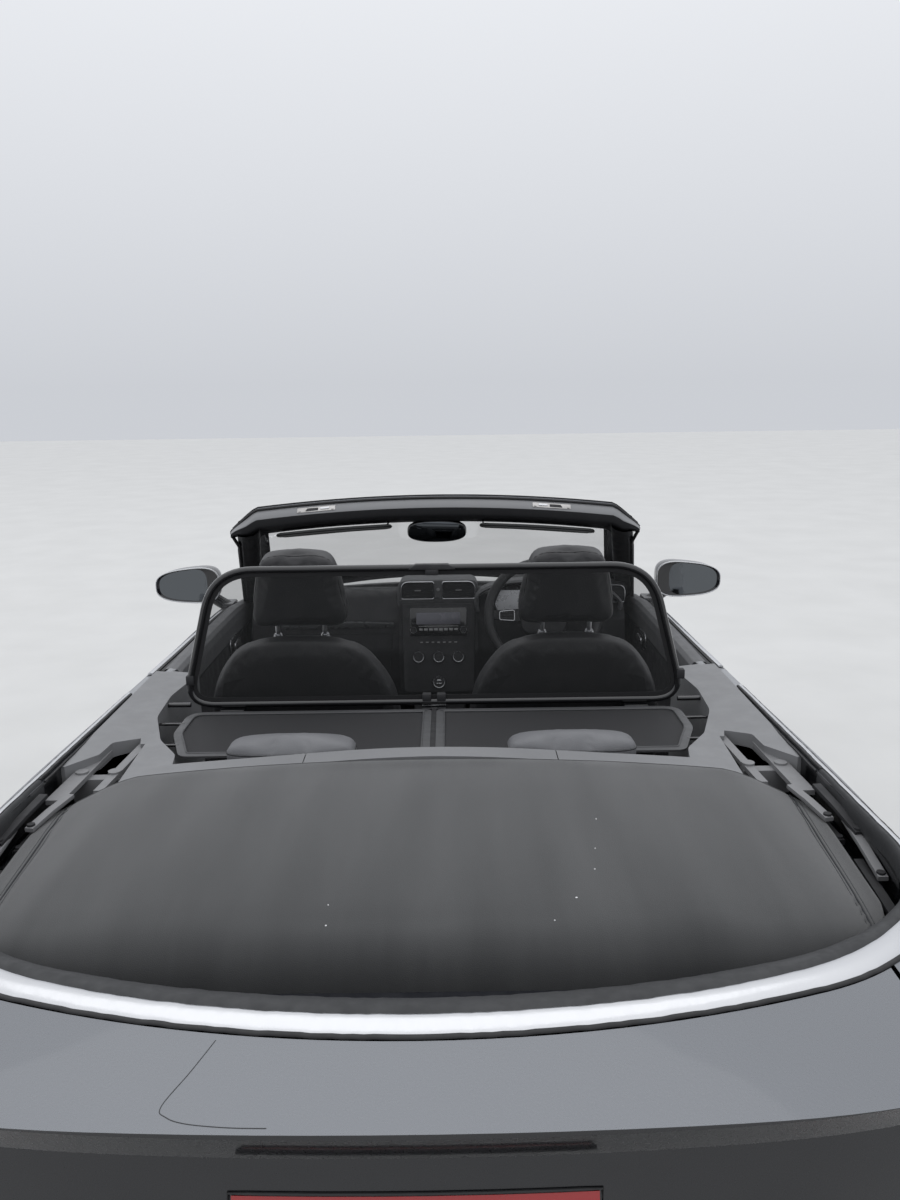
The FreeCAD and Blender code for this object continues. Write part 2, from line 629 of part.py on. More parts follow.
# Cabin furniture
seat_x = size("seat_x")
half_seat = size("seat_width") / 2
seat_low = seat_x - half_seat
seat_high = seat_x + half_seat
cushion_profile = [
    (-235, 345, 30), (-262, 430, 40), (-190, 490, 60), (60, 462, 200), (268, 470, 30), (384, 440, 20),
    (392, 345, 20),
]
cushion_front = [
    (seat_low + 20, 345, 20), (seat_low, 440, 40), (seat_low + 20, 486, 24), (seat_low + 62, 478, 20),
    (seat_low + 92, 440, 30), (seat_high - 92, 440, 30), (seat_high - 62, 478, 20), (seat_high - 20, 486, 24),
    (seat_high, 440, 40), (seat_high - 20, 345, 20),
]
seat_base = prism("front", cushion_front, -300, 400).common(prism("side", cushion_profile, 0, 1000))
shape_node("front_seat_bases", both_sides(seat_base))

recline = Vector(seat_x, 320, 430)
back_outline = [
    (seat_low + 18, 452, 40), (seat_high - 18, 452, 40), (seat_high, 760, 200),
    (seat_high - 62, 1128, 95), (seat_low + 62, 1128, 95), (seat_low, 760, 200),
]
back_profile = [
    (262, 452, 30), (378, 452, 40), (396, 760, 300), (366, 1128, 40), (292, 1128, 34), (300, 800, 300),
    (250, 620, 120),
]
back = prism("front", back_outline, 200, 460).common(prism("side", back_profile, 0, 1000))
seat_back = turned(back, recline, X_AXIS, -14).cut(seat_base)
shape_node("front_seat_backs", both_sides(seat_back))

rest_profile = [(222, 1166, 32), (318, 1166, 32), (312, 1348, 32), (238, 1348, 32)]
headrest = soft_block(rest_profile, seat_x - 121, seat_x + 121, 18)
posts = [rod(Vector(seat_x + dx, 300, 1100), Vector(seat_x + dx, 290, 1180), 6) for dx in (-60, 60)]
headrest = turned(headrest.fuse(posts), recline, X_AXIS, -14)
shape_node("front_headrests", both_sides(headrest.cut(seat_back)))

rail_profile = [
    (-215, 210), (285, 210), (285, 222), (268, 232), (268, 345), (240, 345), (236, 232), (-170, 232),
    (-174, 345), (-202, 345), (-200, 232), (-215, 222),
]
rails = [prism("side", rail_profile, seat_x + dx - 14, seat_x + dx + 14) for dx in (-186, 186)]
shape_node("seat_rails", both_sides(Part.makeCompound(rails)))

bench_profile = [(590, 300, 20), (575, 425, 50), (700, 446, 120), (960, 404, 40), (972, 300, 20)]
bench = soft_block(bench_profile, 102, 585, 22)
shape_node("rear_bench", both_sides(bench))
rear_back_profile = [(868, 410, 30), (990, 396, 20), (1004, 880, 20), (968, 898, 30), (902, 860, 60)]
rear_back = soft_block(rear_back_profile, 60, 572, 22).cut(bench)
shape_node("rear_backrest", both_sides(rear_back))
rear_rest_profile = [(884, 906, 24), (968, 900, 24), (964, 1008, 34), (888, 1014, 34)]
rear_rest = soft_block(rear_rest_profile, 180, 460, 18)
rest_posts = [rod(Vector(x, 926, 860), Vector(x, 926, 930), 6) for x in (270, 370)]
rear_rest = rear_rest.fuse(rest_posts).cut(rear_back)
shape_node("rear_headrests", both_sides(rear_rest))

tank = soft_block([(700, 210), (960, 210), (960, 299.7, 20), (700, 299.7, 20)], 150, 500, 12)
shape_node("fuel_tank", both_sides(tank))

console_profile = [
    (-600, 330), (560, 330), (566, 500, 30), (520, 596, 40), (150, 600, 60), (60, 520, 60),
    (-380, 510, 80), (-500, 640, 40), (-600, 660),
]
console = soft_block(console_profile, -92, 92, 10)
lever = rod(Vector(0, -190, 500), Vector(0, -200, 622), 9).fuse(Part.makeSphere(24, Vector(0, -202, 640)))
console = console.fuse(lever)
shape_node("centre_console", console)

dash_profile = [
    (-850, 640), (-600, 600, 40), (-505, 680, 60), (-478, 800, 60), (-500, 905, 40), (-560, 1000, 50),
    (-640, 1004, 60), (-850, 880),
]
dash = prism("side", dash_profile, -664, 664)
hood_outline = [(-540, 900), (-540, 1000, 60), (-470, 1040, 60), (-250, 1040, 60), (-176, 1000, 60), (-176, 900)]
hood = prism("front", hood_outline, -640, -530)
stack = prism("side", [(-620, 620), (-470, 640, 20), (-452, 800, 60), (-520, 985, 30), (-620, 985)], -140, 140)
dash = dash.fuse([hood, stack]).cut([console, frame])
shape_node("dashboard", dash)

wheel_centre = Vector(-357, -330, 960)
column = math.radians(size("column_angle"))
column_axis = Vector(0, math.cos(column), math.sin(column))
grip_reach = size("wheel_rim_radius")
grip_half = size("wheel_grip")
grip_profile = [
    Vector(wheel_centre.x + grip_reach + grip_half * math.cos(math.radians(turn)),
           wheel_centre.y + grip_half * math.sin(math.radians(turn)), wheel_centre.z)
    for turn in range(0, 361, 45)
]
grip = Part.Face(Part.makePolygon(grip_profile)).revolve(wheel_centre, Y_AXIS, 360)
grip.rotate(wheel_centre, X_AXIS, size("column_angle"))
pad_outline = [(-430, 905, 30), (-284, 905, 30), (-270, 1000, 34), (-444, 1000, 34)]
pad = prism("front", pad_outline, -352, -318)
spoke_side = prism("front", [(-545, 950, 8), (-169, 950, 8), (-169, 980, 8), (-545, 980, 8)], -338, -322)
spoke_low = prism("front", [(-378, 775), (-336, 775), (-320, 920), (-394, 920)], -338, -322)
wheel_parts = [turned(s, wheel_centre, X_AXIS, size("column_angle")) for s in (pad, spoke_side, spoke_low)]
shaft = Part.makeCylinder(20, 136, wheel_centre - column_axis * 150, column_axis)
shape_node("steering_wheel", grip.fuse([shaft] + wheel_parts))
tube = Part.makeCylinder(38, 160, wheel_centre - column_axis * 240, column_axis)
bore_length = 120
tube = tube.cut(Part.makeCylinder(
    20 + SEAT_GAP, bore_length, wheel_centre - column_axis * (150 + SEAT_GAP), column_axis))
stalk = rod(wheel_centre - column_axis * 100, wheel_centre - column_axis * 100 + Vector(-150, 30, 20), 7)
stalks = [stalk, stalk.mirror(wheel_centre, X_AXIS)]
spindle_room = Part.makeCylinder(20 + SEAT_GAP, bore_length, wheel_centre - column_axis * 150, column_axis)
tube = tube.fuse(stalks).cut([dash, spindle_room])
shape_node("steering_column", tube)

top_y = size("screen_top_y")
top_z = size("screen_top_z")
mirror_outline = [(-118, top_z - 102, 22), (118, top_z - 102, 22), (106, top_z - 48, 22), (-106, top_z - 48, 22)]
inside_mirror = prism("front", mirror_outline, top_y - 117, top_y - 95)
stem = rod(at(0, top_y - 105, top_z - 60), at(0, top_y - 150, top_z - 25), 9)
visor_profile = [
    (top_y - 257, top_z - 72, 6), (top_y - 95, top_z - 72, 6), (top_y - 95, top_z - 56, 6),
    (top_y - 257, top_z - 56, 6),
]
visor = turned(prism("side", visor_profile, 138, 502), at(0, top_y - 95, top_z - 64), X_AXIS, 27)
fittings = inside_mirror.fuse([stem, both_sides(visor)]).cut([frame, glass])
shape_node("header_fittings", fittings)

# Rear deck: trims, rail, wind screen, folded roof and its links
deck_crown = [
    (-790, 300), (-790, 982), (-645, 967, 150), (-500, 979, 400), (0, 1014, 3000), (500, 979, 400),
    (645, 967, 150), (790, 982), (790, 300),
]
deck_low = 940
DECK = prism("front", deck_crown, 200, 1200)
trim_plan = [
    (790, 332), (790, 1000), (748, 1000), (704, 922, 20), (700, 852, 20), (632, 800, 16), (618, 1068),
    (530, 1062), (530, 991), (540, 935, 60), (600, 835, 100), (655, 673, 150), (665, 520, 200), (645, 318),
]
wall_plan = [
    (720, 318), (720, 560), (640, 850), (592, 850), (600, 835, 100), (655, 673, 150), (665, 520, 200),
    (645, 318),
]
wall_room = [
    (740, 300), (740, 900), (700, 900), (616, 838), (671, 673, 150), (681, 520, 200),
    (661, 300),
]
trim_top = prism("plan", trim_plan, deck_low, 1100)
trim_wall = prism("plan", wall_plan, 372, 1100).cut(prism("plan", wall_room, 300, deck_low + 1))
trim = trim_top.fuse(trim_wall).common(DECK).common(WELL_SEAT)
shape_node("rear_side_trims", both_sides(trim))

rail_plan = [
    (-530, 991), (530, 991), (530, 1062), (255, 1047, 900), (0, 1041, 900), (-255, 1047, 900), (-530, 1062),
]
rail = prism("plan", rail_plan, deck_low, 1100).common(DECK)
rail = rail.cut([box(x - 1, x + 1, 900, 1100, 970, 1100) for x in (-255, 255)])
shape_node("rear_trim_rail", rail)

hinge_y = 555
hinge_z = 957
hinge_rod = rod(at(-690, hinge_y, hinge_z), at(690, hinge_y, hinge_z), 7).cut(both_sides(trim))
panel_outline = [(4, 574, 4), (560, 574, 20), (552, 874, 40), (4, 874, 4)]
net_outline = [(24, 594), (534, 594, 10), (526, 852, 24), (24, 852)]
panel_frame = prism("plan", panel_outline, 940, 948).cut(prism("plan", net_outline, 900, 1000))
panel_net = prism("plan", net_outline, 943, 945)
pins = [rod(at(540, y, 944), at(680, y, 944), 3.5) for y in (640, 790)]
lower_panel = panel_frame.fuse([panel_net] + pins).cut(trim)
shape_node("deflector_lower", Part.makeCompound([lower_panel, mirrored(lower_panel), hinge_rod]))

screen_low = hinge_z + 15
screen_outline = [(-622, screen_low, 20), (622, screen_low, 20), (542, 1306, 85), (-542, 1306, 85)]
screen_inner = [(-604, screen_low + 16, 16), (604, screen_low + 16, 16), (528, 1290, 72), (-528, 1290, 72)]
screen_rim = prism("front", screen_outline, hinge_y - 8, hinge_y + 8)
screen_rim = screen_rim.cut(prism("front", screen_inner, hinge_y - 20, hinge_y + 20))
screen_net = prism("front", screen_inner, hinge_y - 1, hinge_y + 1)
clips = []
for x in (-500, 0, 500):
    clip = rod(at(x - 30, hinge_y, hinge_z), at(x + 30, hinge_y, hinge_z), 12.5)
    neck = prism("side", [(hinge_y - 6, hinge_z), (hinge_y + 6, hinge_z), (hinge_y + 6, screen_low + 4),
                          (hinge_y - 6, screen_low + 4)], x - 30, x + 30)
    clip_bore = rod(at(x - 40, hinge_y, hinge_z), at(x + 40, hinge_y, hinge_z), 7 + SEAT_GAP)
    clips.append(clip.fuse(neck).cut(clip_bore))
shape_node("deflector_screen", screen_rim.fuse([screen_net] + clips))

roof_plan = [
    (0, 1042, 900), (615, 1074, 60), (712, 1080, 30), (744, 1120, 40), (709, 1377, 400), (700, 1620, 30),
    (640, 1692, 60), (0, 1726, 3000), (-640, 1692, 60), (-700, 1620, 30), (-709, 1377, 400),
    (-744, 1120, 40), (-712, 1080, 30), (-615, 1074, 60),
]
stack_side = [
    (1000, 880), (1000, 996), (1060, 1010, 40), (1300, 1034, 600), (1640, 1028, 200), (1700, 1000, 60),
    (1732, 940, 40), (1732, 880),
]
stack_front = [
    (-760, 880), (-760, 930, 20), (-700, 954, 60), (-600, 986, 400), (0, 1036, 4000), (600, 986, 400),
    (700, 954, 60), (760, 930, 20), (760, 880),
]
folded = prism("plan", roof_plan, 880, 1040).common(prism("side", stack_side, -800, 800))
folded = folded.common(prism("front", stack_front, 1000, 1800)).common(WELL_ROOM)
folded = folded.cut([rail, both_sides(trim)])
shape_node("folded_roof", folded)

link_low = 948
links = []
for start, end, width in (((640, 780), (657, 1120), 18), ((716, 860), (724, 1120), 34)):
    along = Vector(end[0] - start[0], end[1] - start[1], 0).normalize()
    across = Vector(-along.y, along.x, 0) * (width / 2)
    corners = []
    for point, sign in ((start, 1), (start, -1), (end, -1), (end, 1)):
        corners.append((point[0] + across.x * sign, point[1] + across.y * sign))
    links.append(prism("plan", corners, link_low, link_low + 10))
posts = [rod(at(x, y, 880), at(x, y, link_low + 14), 13) for x, y in ((652, 985), (719, 985))]
linkage = links[0].fuse(links[1:] + posts + [box(640, 735, 972, 998, 900, link_low)])
linkage = linkage.cut([folded, trim]).common(WELL_SEAT)
shape_node("roof_linkage", both_sides(linkage))

# Door mirrors ride on the doors
pod_front = [(795, 978, 40), (1010, 990, 44), (1018, 1092, 44), (812, 1098, 40)]
pod_plan = [(790, -560), (1018, -572, 10), (1012, -640, 60), (900, -676, 80), (800, -650, 50)]
pod = prism("front", pod_front, -700, -500).common(prism("plan", pod_plan, 900, 1200))
pod = pod.cut(prism("front", [(806, 990, 30), (1000, 1000, 34), (1006, 1082, 34), (822, 1087, 30)], -568, -500))
mirror_glass = prism("front", [(808, 992, 30), (998, 1002, 34), (1004, 1080, 34), (824, 1085, 30)], -576, -568)
arm = prism("front", [(752, 925), (806, 925), (840, 985), (800, 1000), (752, 960)], -640, -592)
mirror = pod.fuse([mirror_glass, arm]).cut(door)
shape_node("mirror_left", mirror)
shape_node("mirror_right", mirrored(mirror))

# Running gear
KINGPIN = 722
subframe_profile = [(-460, 217), (460, 217), (460, 265), (300, 265), (260, 240), (-260, 240), (-300, 265), (-460, 265)]
subframe = prism("front", subframe_profile, FRONT_AXLE - 70, FRONT_AXLE + 70)
tower = prism("front", [(400, 265), (455, 265), (448, 380), (404, 380)], FRONT_AXLE - 50, FRONT_AXLE + 50)
arm_plan = [
    (455, FRONT_AXLE - 60), (700, FRONT_AXLE - 22, 20), (736, FRONT_AXLE - 18, 12), (736, FRONT_AXLE + 18, 12),
    (700, FRONT_AXLE + 22, 20), (455, FRONT_AXLE + 60),
]
lower_arm = prism("plan", arm_plan, 205, 229)
lower_arm = lower_arm.fuse(prism("plan", [(430, FRONT_AXLE - 60), (470, FRONT_AXLE - 60),
                                          (470, FRONT_AXLE + 60), (430, FRONT_AXLE + 60)], 205, 240))
ball = Part.makeCylinder(9, 11.7, Vector(KINGPIN, FRONT_AXLE, 229), Z_AXIS)
strut = rod(Vector(590, FRONT_AXLE, 229), Vector(590, FRONT_AXLE, 668), 11)
strut = strut.fuse(rod(Vector(590, FRONT_AXLE, 260), Vector(590, FRONT_AXLE, 520), 22))
perch = Part.makeCylinder(54, 10, Vector(590, FRONT_AXLE, 500), Z_AXIS)
suspension = [tower, lower_arm, ball, strut, perch]
shape_node("front_subframe", subframe.fuse([both_sides(s) for s in suspension]))

beam_profile = [(-640, 250), (640, 250), (640, 290), (520, 300), (-520, 300), (-640, 290)]
beam = prism("front", beam_profile, REAR_AXLE - 40, REAR_AXLE + 40)
beam = beam.fuse([
    both_sides(prism("side", [(REAR_AXLE - 50, 236), (REAR_AXLE + 50, 236), (REAR_AXLE + 30, 400),
                              (REAR_AXLE - 30, 400)], 640, 700)),
    both_sides(prism("front", [(470, 300), (540, 300), (540, 330), (470, 330)],
                     REAR_AXLE - 40, REAR_AXLE + 40)),
    both_sides(rod(Vector(690, REAR_AXLE, HUB_HEIGHT), Vector(723, REAR_AXLE, HUB_HEIGHT), 40)),
    both_sides(rod(Vector(700, REAR_AXLE, HUB_HEIGHT), Vector(797, REAR_AXLE, HUB_HEIGHT),
                   size("hub_bore") - SEAT_GAP)),
])
casing = Part.makeSphere(72, Vector(0, REAR_AXLE, 292)).common(box(-100, 100, 1200, 1500, 236, 330))
pipe_room = rod(at(0, -900, 214), at(0, 2100, 214), 26)
shape_node("rear_axle", beam.fuse(casing).cut(pipe_room))

pipe = rod(at(0, -840, 214), at(0, 1800, 214), 20)
muffler_outline = [(-280, 212, 40), (280, 212, 40), (280, 330, 40), (-280, 330, 40)]
muffler = prism("front", muffler_outline, 1760, 1940)
tips = [rod(at(x, 1935, 250), at(x, 2062, 236), 26) for x in (-470, -400)]
tip_link = rod(at(-270, 1925, 262), at(-472, 1952, 250), 21)
tip_bores = [rod(at(x, 1990, 244), at(x, 2117, 230), 22) for x in (-470, -400)]
shape_node("exhaust", pipe.fuse([muffler, tip_link] + tips).cut(tip_bores))

half_engine = size("engine_width") / 2
sump = 240 + SEAT_GAP
head = sump + size("engine_height")
shape_node("engine_block", prism("front", [
    (25 - half_engine, sump, 30), (half_engine - 25, sump, 30), (half_engine, sump + 260, 40),
    (half_engine - 50, head, 40), (50 - half_engine, head, 40), (-half_engine, sump + 260, 40),
], -1010 - size("engine_length"), -1010))

knuckle_profile = [
    (FRONT_AXLE - 30, 241), (FRONT_AXLE + 30, 241), (FRONT_AXLE + 46, 317, 30), (FRONT_AXLE + 26, 404, 16),
    (FRONT_AXLE - 26, 404, 16), (FRONT_AXLE - 46, 317, 30),
]
upright = prism("side", knuckle_profile, 676, 728)
bearing = rod(Vector(700, FRONT_AXLE, HUB_HEIGHT), Vector(736, FRONT_AXLE, HUB_HEIGHT), 40)
spindle = rod(Vector(720, FRONT_AXLE, HUB_HEIGHT), Vector(810, FRONT_AXLE, HUB_HEIGHT), size("hub_bore") - SEAT_GAP)
calliper_profile = [
    (FRONT_AXLE + 100, 262, 10), (FRONT_AXLE + 166, 268, 20), (FRONT_AXLE + 182, 317, 40),
    (FRONT_AXLE + 166, 368, 20), (FRONT_AXLE + 100, 374, 10),
]
calliper = prism("side", calliper_profile, 714, 794)
calliper = calliper.cut(Part.makeCylinder(152, 34, Vector(736, FRONT_AXLE, HUB_HEIGHT), X_AXIS))
bracket = prism("side", [(FRONT_AXLE, 287), (FRONT_AXLE + 150, 275), (FRONT_AXLE + 150, 359),
                         (FRONT_AXLE, 347)], 700, 716)
knuckle = upright.fuse([bearing, spindle, bracket, calliper])
shape_node("knuckle_left", knuckle)
shape_node("knuckle_right", mirrored(knuckle))


def open_body(label):
    """A new body and the planes and axes of its origin by role."""
    body = doc.addObject("PartDesign::Body", label)
    return body, {f.Role: f for f in body.Origin.OriginFeatures}


def closed_sketch(body, plane, label, loops, offset=0):
    """A sketch of closed loops: lists of corners, or (centre x, centre y, radius) for a circle."""
    sketch = body.newObject("Sketcher::SketchObject", label)
    sketch.AttachmentSupport = [(plane, "")]
    sketch.MapMode = "FlatFace"
    sketch.AttachmentOffset = Placement(Vector(0, 0, offset), Rotation())
    for loop in loops:
        if isinstance(loop, tuple):
            centre = Vector(loop[0], loop[1], 0)
            sketch.addGeometry(Part.Circle(centre, Vector(0, 0, 1), loop[2]))
            continue
        first = sketch.GeometryCount
        count = len(loop)
        for i, (along, across) in enumerate(loop):
            end = loop[(i + 1) % count]
            sketch.addGeometry(Part.LineSegment(Vector(along, across, 0), Vector(end[0], end[1], 0)))
        for i in range(count):
            following = first + (i + 1) % count
            sketch.addConstraint(Sketcher.Constraint("Coincident", first + i, 2, following, 1))
    return sketch


def revolve(body, roles, label, profile):
    """Turns a profile of (along, radius) corners about the body's X axis."""
    turn = body.newObject("PartDesign::Revolution", label)
    turn.Profile = closed_sketch(body, roles["XY_Plane"], f"{label}_profile", [profile])
    turn.ReferenceAxis = (roles["X_Axis"], [""])
    turn.Angle = 360
    body.Tip = turn
    return turn


def repeat_round(body, roles, label, feature, count):
    """Repeats a feature round the body's X axis."""
    pattern = body.newObject("PartDesign::PolarPattern", label)
    pattern.Originals = [feature]
    pattern.Axis = (roles["X_Axis"], [""])
    pattern.Angle = 360
    pattern.Occurrences = count
    body.Tip = pattern
    return pattern


half_tyre = size("tyre_width") / 2
seat = size("rim_radius")
reach = size("tyre_radius")
tyre_body, tyre_roles = open_body("tyre")
revolve(tyre_body, tyre_roles, "tyre_turn", [
    (-90, seat + 0.2), (90, seat + 0.2), (90, seat + 13), (104, seat + 22), (half_tyre, 262), (110, 290),
    (98, reach - 7), (78, reach), (-78, reach), (-98, reach - 7), (-110, 290), (-half_tyre, 262),
    (-104, seat + 22), (-90, seat + 13),
])

half_rim = size("rim_width") / 2
barrel = seat - size("rim_wall")
hub = size("hub_radius")
bore = size("hub_bore")
disc = size("disc_radius")
rim_body, rim_roles = open_body("rim")
revolve(rim_body, rim_roles, "barrel_turn", [
    (-half_rim, barrel), (-half_rim, seat + 11), (-91, seat + 11), (-91, seat), (91, seat), (91, seat + 11),
    (half_rim, seat + 11), (half_rim, barrel), (78, barrel - 4), (40, barrel),
])
revolve(rim_body, rim_roles, "hub_turn", [
    (-26, bore), (-26, disc), (-4, disc), (-4, hub + 8), (46, hub + 8), (46, hub), (70, hub), (78, hub - 18),
    (78, 0), (66, 0), (66, bore),
])
spoke_pad = rim_body.newObject("PartDesign::Pad", "spoke_pad")
spoke_pad.Profile = closed_sketch(rim_body, rim_roles["YZ_Plane"], "spoke_outline", [
    [(4, hub - 12), (24, hub - 16), (64, barrel - 10), (44, barrel - 4)],
    [(-4, hub - 12), (-44, barrel - 4), (-64, barrel - 10), (-24, hub - 16)],
], 48)
spoke_pad.Length = 26
rim_body.Tip = spoke_pad
repeat_round(rim_body, rim_roles, "spokes", spoke_pad, int(size("spoke_count")))
doc.recompute()
for side, wheel_label in ((1, "left"), (-1, "right")):
    for axle, track, axle_label in (
        (FRONT_AXLE, size("track_front"), "front"), (REAR_AXLE, size("track_rear"), "rear"),
    ):
        for part_name, source in (("tyre", tyre_body), ("rim", rim_body)):
            wheel = source.Shape.copy() if side > 0 else mirrored(source.Shape)
            wheel.translate(Vector(side * track / 2, axle, HUB_HEIGHT))
            shape_node(f"{part_name}_{axle_label}_{wheel_label}", wheel)

doc.recompute()
for item in doc.Objects:
    if "Invalid" in item.State or "Error" in item.State:
        raise RuntimeError(f"{item.Label} did not build")
os.makedirs("parts", exist_ok=True)
for label, item in NODES.items():
    shape = item.Shape
    if shape.isNull() or not shape.isValid() or not shape.Solids:
        print("BAD", label, shape.isNull(), shape.isValid(), len(shape.Solids))
        continue
    shape.exportStep(f"parts/{label}.step")
    print(label, len(shape.Solids), round(shape.Volume / 1e6, 2))
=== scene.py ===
"""Looks of the open car: materials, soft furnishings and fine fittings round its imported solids.

+Y points to the rear of the car, +X to its left side and +Z up. Lengths are in metres.
"""
import json
import math

import bmesh
import bpy
from mathutils import Matrix, Vector
from mathutils.bvhtree import BVHTree


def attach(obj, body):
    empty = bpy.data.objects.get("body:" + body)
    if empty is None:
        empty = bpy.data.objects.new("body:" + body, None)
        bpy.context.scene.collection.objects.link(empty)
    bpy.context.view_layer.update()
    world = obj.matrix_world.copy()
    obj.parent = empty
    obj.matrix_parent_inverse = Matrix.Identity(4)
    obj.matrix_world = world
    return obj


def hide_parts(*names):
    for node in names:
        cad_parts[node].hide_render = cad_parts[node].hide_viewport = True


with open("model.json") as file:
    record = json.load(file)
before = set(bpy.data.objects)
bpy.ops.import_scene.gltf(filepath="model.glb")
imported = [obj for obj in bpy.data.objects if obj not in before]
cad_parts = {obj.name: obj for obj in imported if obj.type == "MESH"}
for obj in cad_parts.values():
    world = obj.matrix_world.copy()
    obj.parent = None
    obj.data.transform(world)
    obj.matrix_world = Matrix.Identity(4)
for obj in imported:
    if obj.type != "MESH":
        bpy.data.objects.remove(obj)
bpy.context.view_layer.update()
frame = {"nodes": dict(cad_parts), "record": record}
nodes = frame["nodes"]

# Materials
NOISE = "ShaderNodeTexNoise"
CELLS = "ShaderNodeTexVoronoi"


def shader_of(made):
    return made.node_tree.nodes["Principled BSDF"]


def add_node(made, kind, **values):
    """A node of a material, with its input values set by name."""
    node = made.node_tree.nodes.new(kind)
    for key, value in values.items():
        node.inputs[key.replace("_", " ")].default_value = value
    return node


def link(made, source, output, target, socket):
    """Joins one node's output to another's input."""
    made.node_tree.links.new(source.outputs[output], target.inputs[socket])


def texture_of(made, kind, stretch=(1, 1, 1), **values):
    """A texture over object coordinates in metres, stretched."""
    where = add_node(made, "ShaderNodeTexCoord")
    mapping = add_node(made, "ShaderNodeMapping", Scale=stretch)
    link(made, where, "Object", mapping, "Vector")
    texture = add_node(made, kind, **values)
    link(made, mapping, "Vector", texture, "Vector")
    return texture


def mottle(made, low, high, scale, stretch=(1, 1, 1)):
    """Lets the colour drift between two shades with noise."""
    ramp = add_node(made, "ShaderNodeValToRGB")
    for stop, spot, shade in zip(ramp.color_ramp.elements, (0.3, 0.7), (low, high)):
        stop.position = spot
        stop.color = (*shade, 1)
    link(made, texture_of(made, NOISE, stretch, Scale=scale, Detail=4.0), "Fac", ramp, "Fac")
    link(made, ramp, "Color", shader_of(made), "Base Color")


def relief(made, kind, scale, strength, distance):
    """Adds a fine bump from a texture."""
    bump = add_node(made, "ShaderNodeBump", Strength=strength, Distance=distance)
    link(made, texture_of(made, kind, Scale=scale), "Distance" if kind == CELLS else "Fac", bump, "Height")
    link(made, bump, "Normal", shader_of(made), "Normal")


def rough_drift(made, low, high, scale):
    """Lets the roughness drift between two values with noise."""
    spread = add_node(made, "ShaderNodeMapRange", From_Min=0.35, From_Max=0.65, To_Min=low, To_Max=high)
    link(made, texture_of(made, NOISE, Scale=scale, Detail=6.0), "Fac", spread, "Value")
    link(made, spread, "Result", shader_of(made), "Roughness")


def painted_sky_top(made, side, top):
    """Colours faces by which way they look: up-facing ones get the light top colour as a painted sky
    reflection, steeper ones the near-black side colour as painted shade.
    """
    facing = add_node(made, "ShaderNodeNewGeometry")
    split = add_node(made, "ShaderNodeSeparateXYZ")
    link(made, facing, "Normal", split, "Vector")
    share = add_node(made, "ShaderNodeMapRange", From_Min=0.3, From_Max=0.42, To_Min=0.0, To_Max=1.0)
    link(made, split, "Z", share, "Value")
    blend = made.node_tree.nodes.new("ShaderNodeMix")
    blend.data_type = "RGBA"
    blend.inputs[6].default_value = (*side, 1)
    blend.inputs[7].default_value = (*top, 1)
    made.node_tree.links.new(share.outputs["Result"], blend.inputs[0])
    made.node_tree.links.new(blend.outputs[2], shader_of(made).inputs["Base Color"])


def look(name, colour, rough, metal=0.0, drift=None, shades=None, grain=None, **sockets):
    """A material: plain values on its shader's own sockets, then what varies over it.

    drift is (low, high, scale) of the roughness, shades (low, high, scale, stretch) of the colour
    and grain (texture, scale, strength, distance) of the bump.
    """
    made = bpy.data.materials.new(name)
    made.use_nodes = True
    inputs = shader_of(made).inputs
    inputs["Base Color"].default_value = (*colour, 1)
    inputs["Roughness"].default_value = rough
    inputs["Metallic"].default_value = metal
    for socket, value in sockets.items():
        inputs[socket.replace("_", " ")].default_value = value
    for add, values in ((mottle, shades), (rough_drift, drift), (relief, grain)):
        if values:
            add(made, *values)
    return made


CLOTH_GRAIN = (CELLS, 900, 0.5, 0.0005)
LEATHER_GRAIN = (CELLS, 420, 0.5, 0.0006)
paint = look("paint_dark_metallic", (0.02, 0.022, 0.027), 0.3, 0.7, (0.26, 0.34, 500),
             grain=(CELLS, 260, 0.18, 0.0004), Coat_Weight=1.0, Coat_Roughness=0.05)
# The car paint's colour follows each face's tilt: faces that look up get a painted sky reflection, steep and
# downward faces painted shade.
painted_sky_top(paint, (0.011, 0.0115, 0.014), (0.155, 0.164, 0.18))
black_plastic = look("plastic_black", (0.018, 0.018, 0.02), 0.62, 0, (0.55, 0.75, 30),
    grain=(NOISE, 1500, 0.25, 0.0003))
gloss_black = look("plastic_gloss_black", (0.008, 0.008, 0.009), 0.12, 0, (0.1, 0.2, 12),
                   Coat_Weight=0.8, Coat_Roughness=0.04)
grey_plastic = look("plastic_satin_grey", (0.2, 0.202, 0.208), 0.46, 0, (0.42, 0.58, 20),
    grain=(NOISE, 1800, 0.3, 0.0003))
satin_metal = look("metal_satin", (0.58, 0.585, 0.6), 0.3, 1, (0.24, 0.36, 60))
alloy = look("metal_alloy", (0.5, 0.51, 0.53), 0.34, 0.9, (0.28, 0.4, 25), Coat_Weight=0.4,
    Coat_Roughness=0.1)
dark_steel = look("steel_dark", (0.05, 0.05, 0.052), 0.6, 0.3,
    shades=((0.04, 0.04, 0.042), (0.07, 0.066, 0.06), 40))
bright_steel = look("steel_brushed", (0.45, 0.44, 0.43), 0.4, 1,
    shades=((0.36, 0.35, 0.34), (0.5, 0.49, 0.48), 30))
cast_iron = look("iron_cast", (0.12, 0.12, 0.12), 0.7, 0.5,
    shades=((0.09, 0.09, 0.09), (0.15, 0.145, 0.14), 60),
                 grain=(NOISE, 400, 0.4, 0.001))
rubber = look("tyre_rubber", (0.018, 0.018, 0.019), 0.8,
    shades=((0.014, 0.014, 0.015), (0.026, 0.026, 0.026), 25))
clear_lamp = look("lamp_clear", (0.75, 0.77, 0.8), 0.06, 0, (0.04, 0.09, 8), Transmission_Weight=0.55,
    Coat_Weight=0.6)
red_lamp = look("lamp_red", (0.3, 0.006, 0.008), 0.12, 0, (0.1, 0.16, 8), Coat_Weight=0.8,
    Coat_Roughness=0.05)
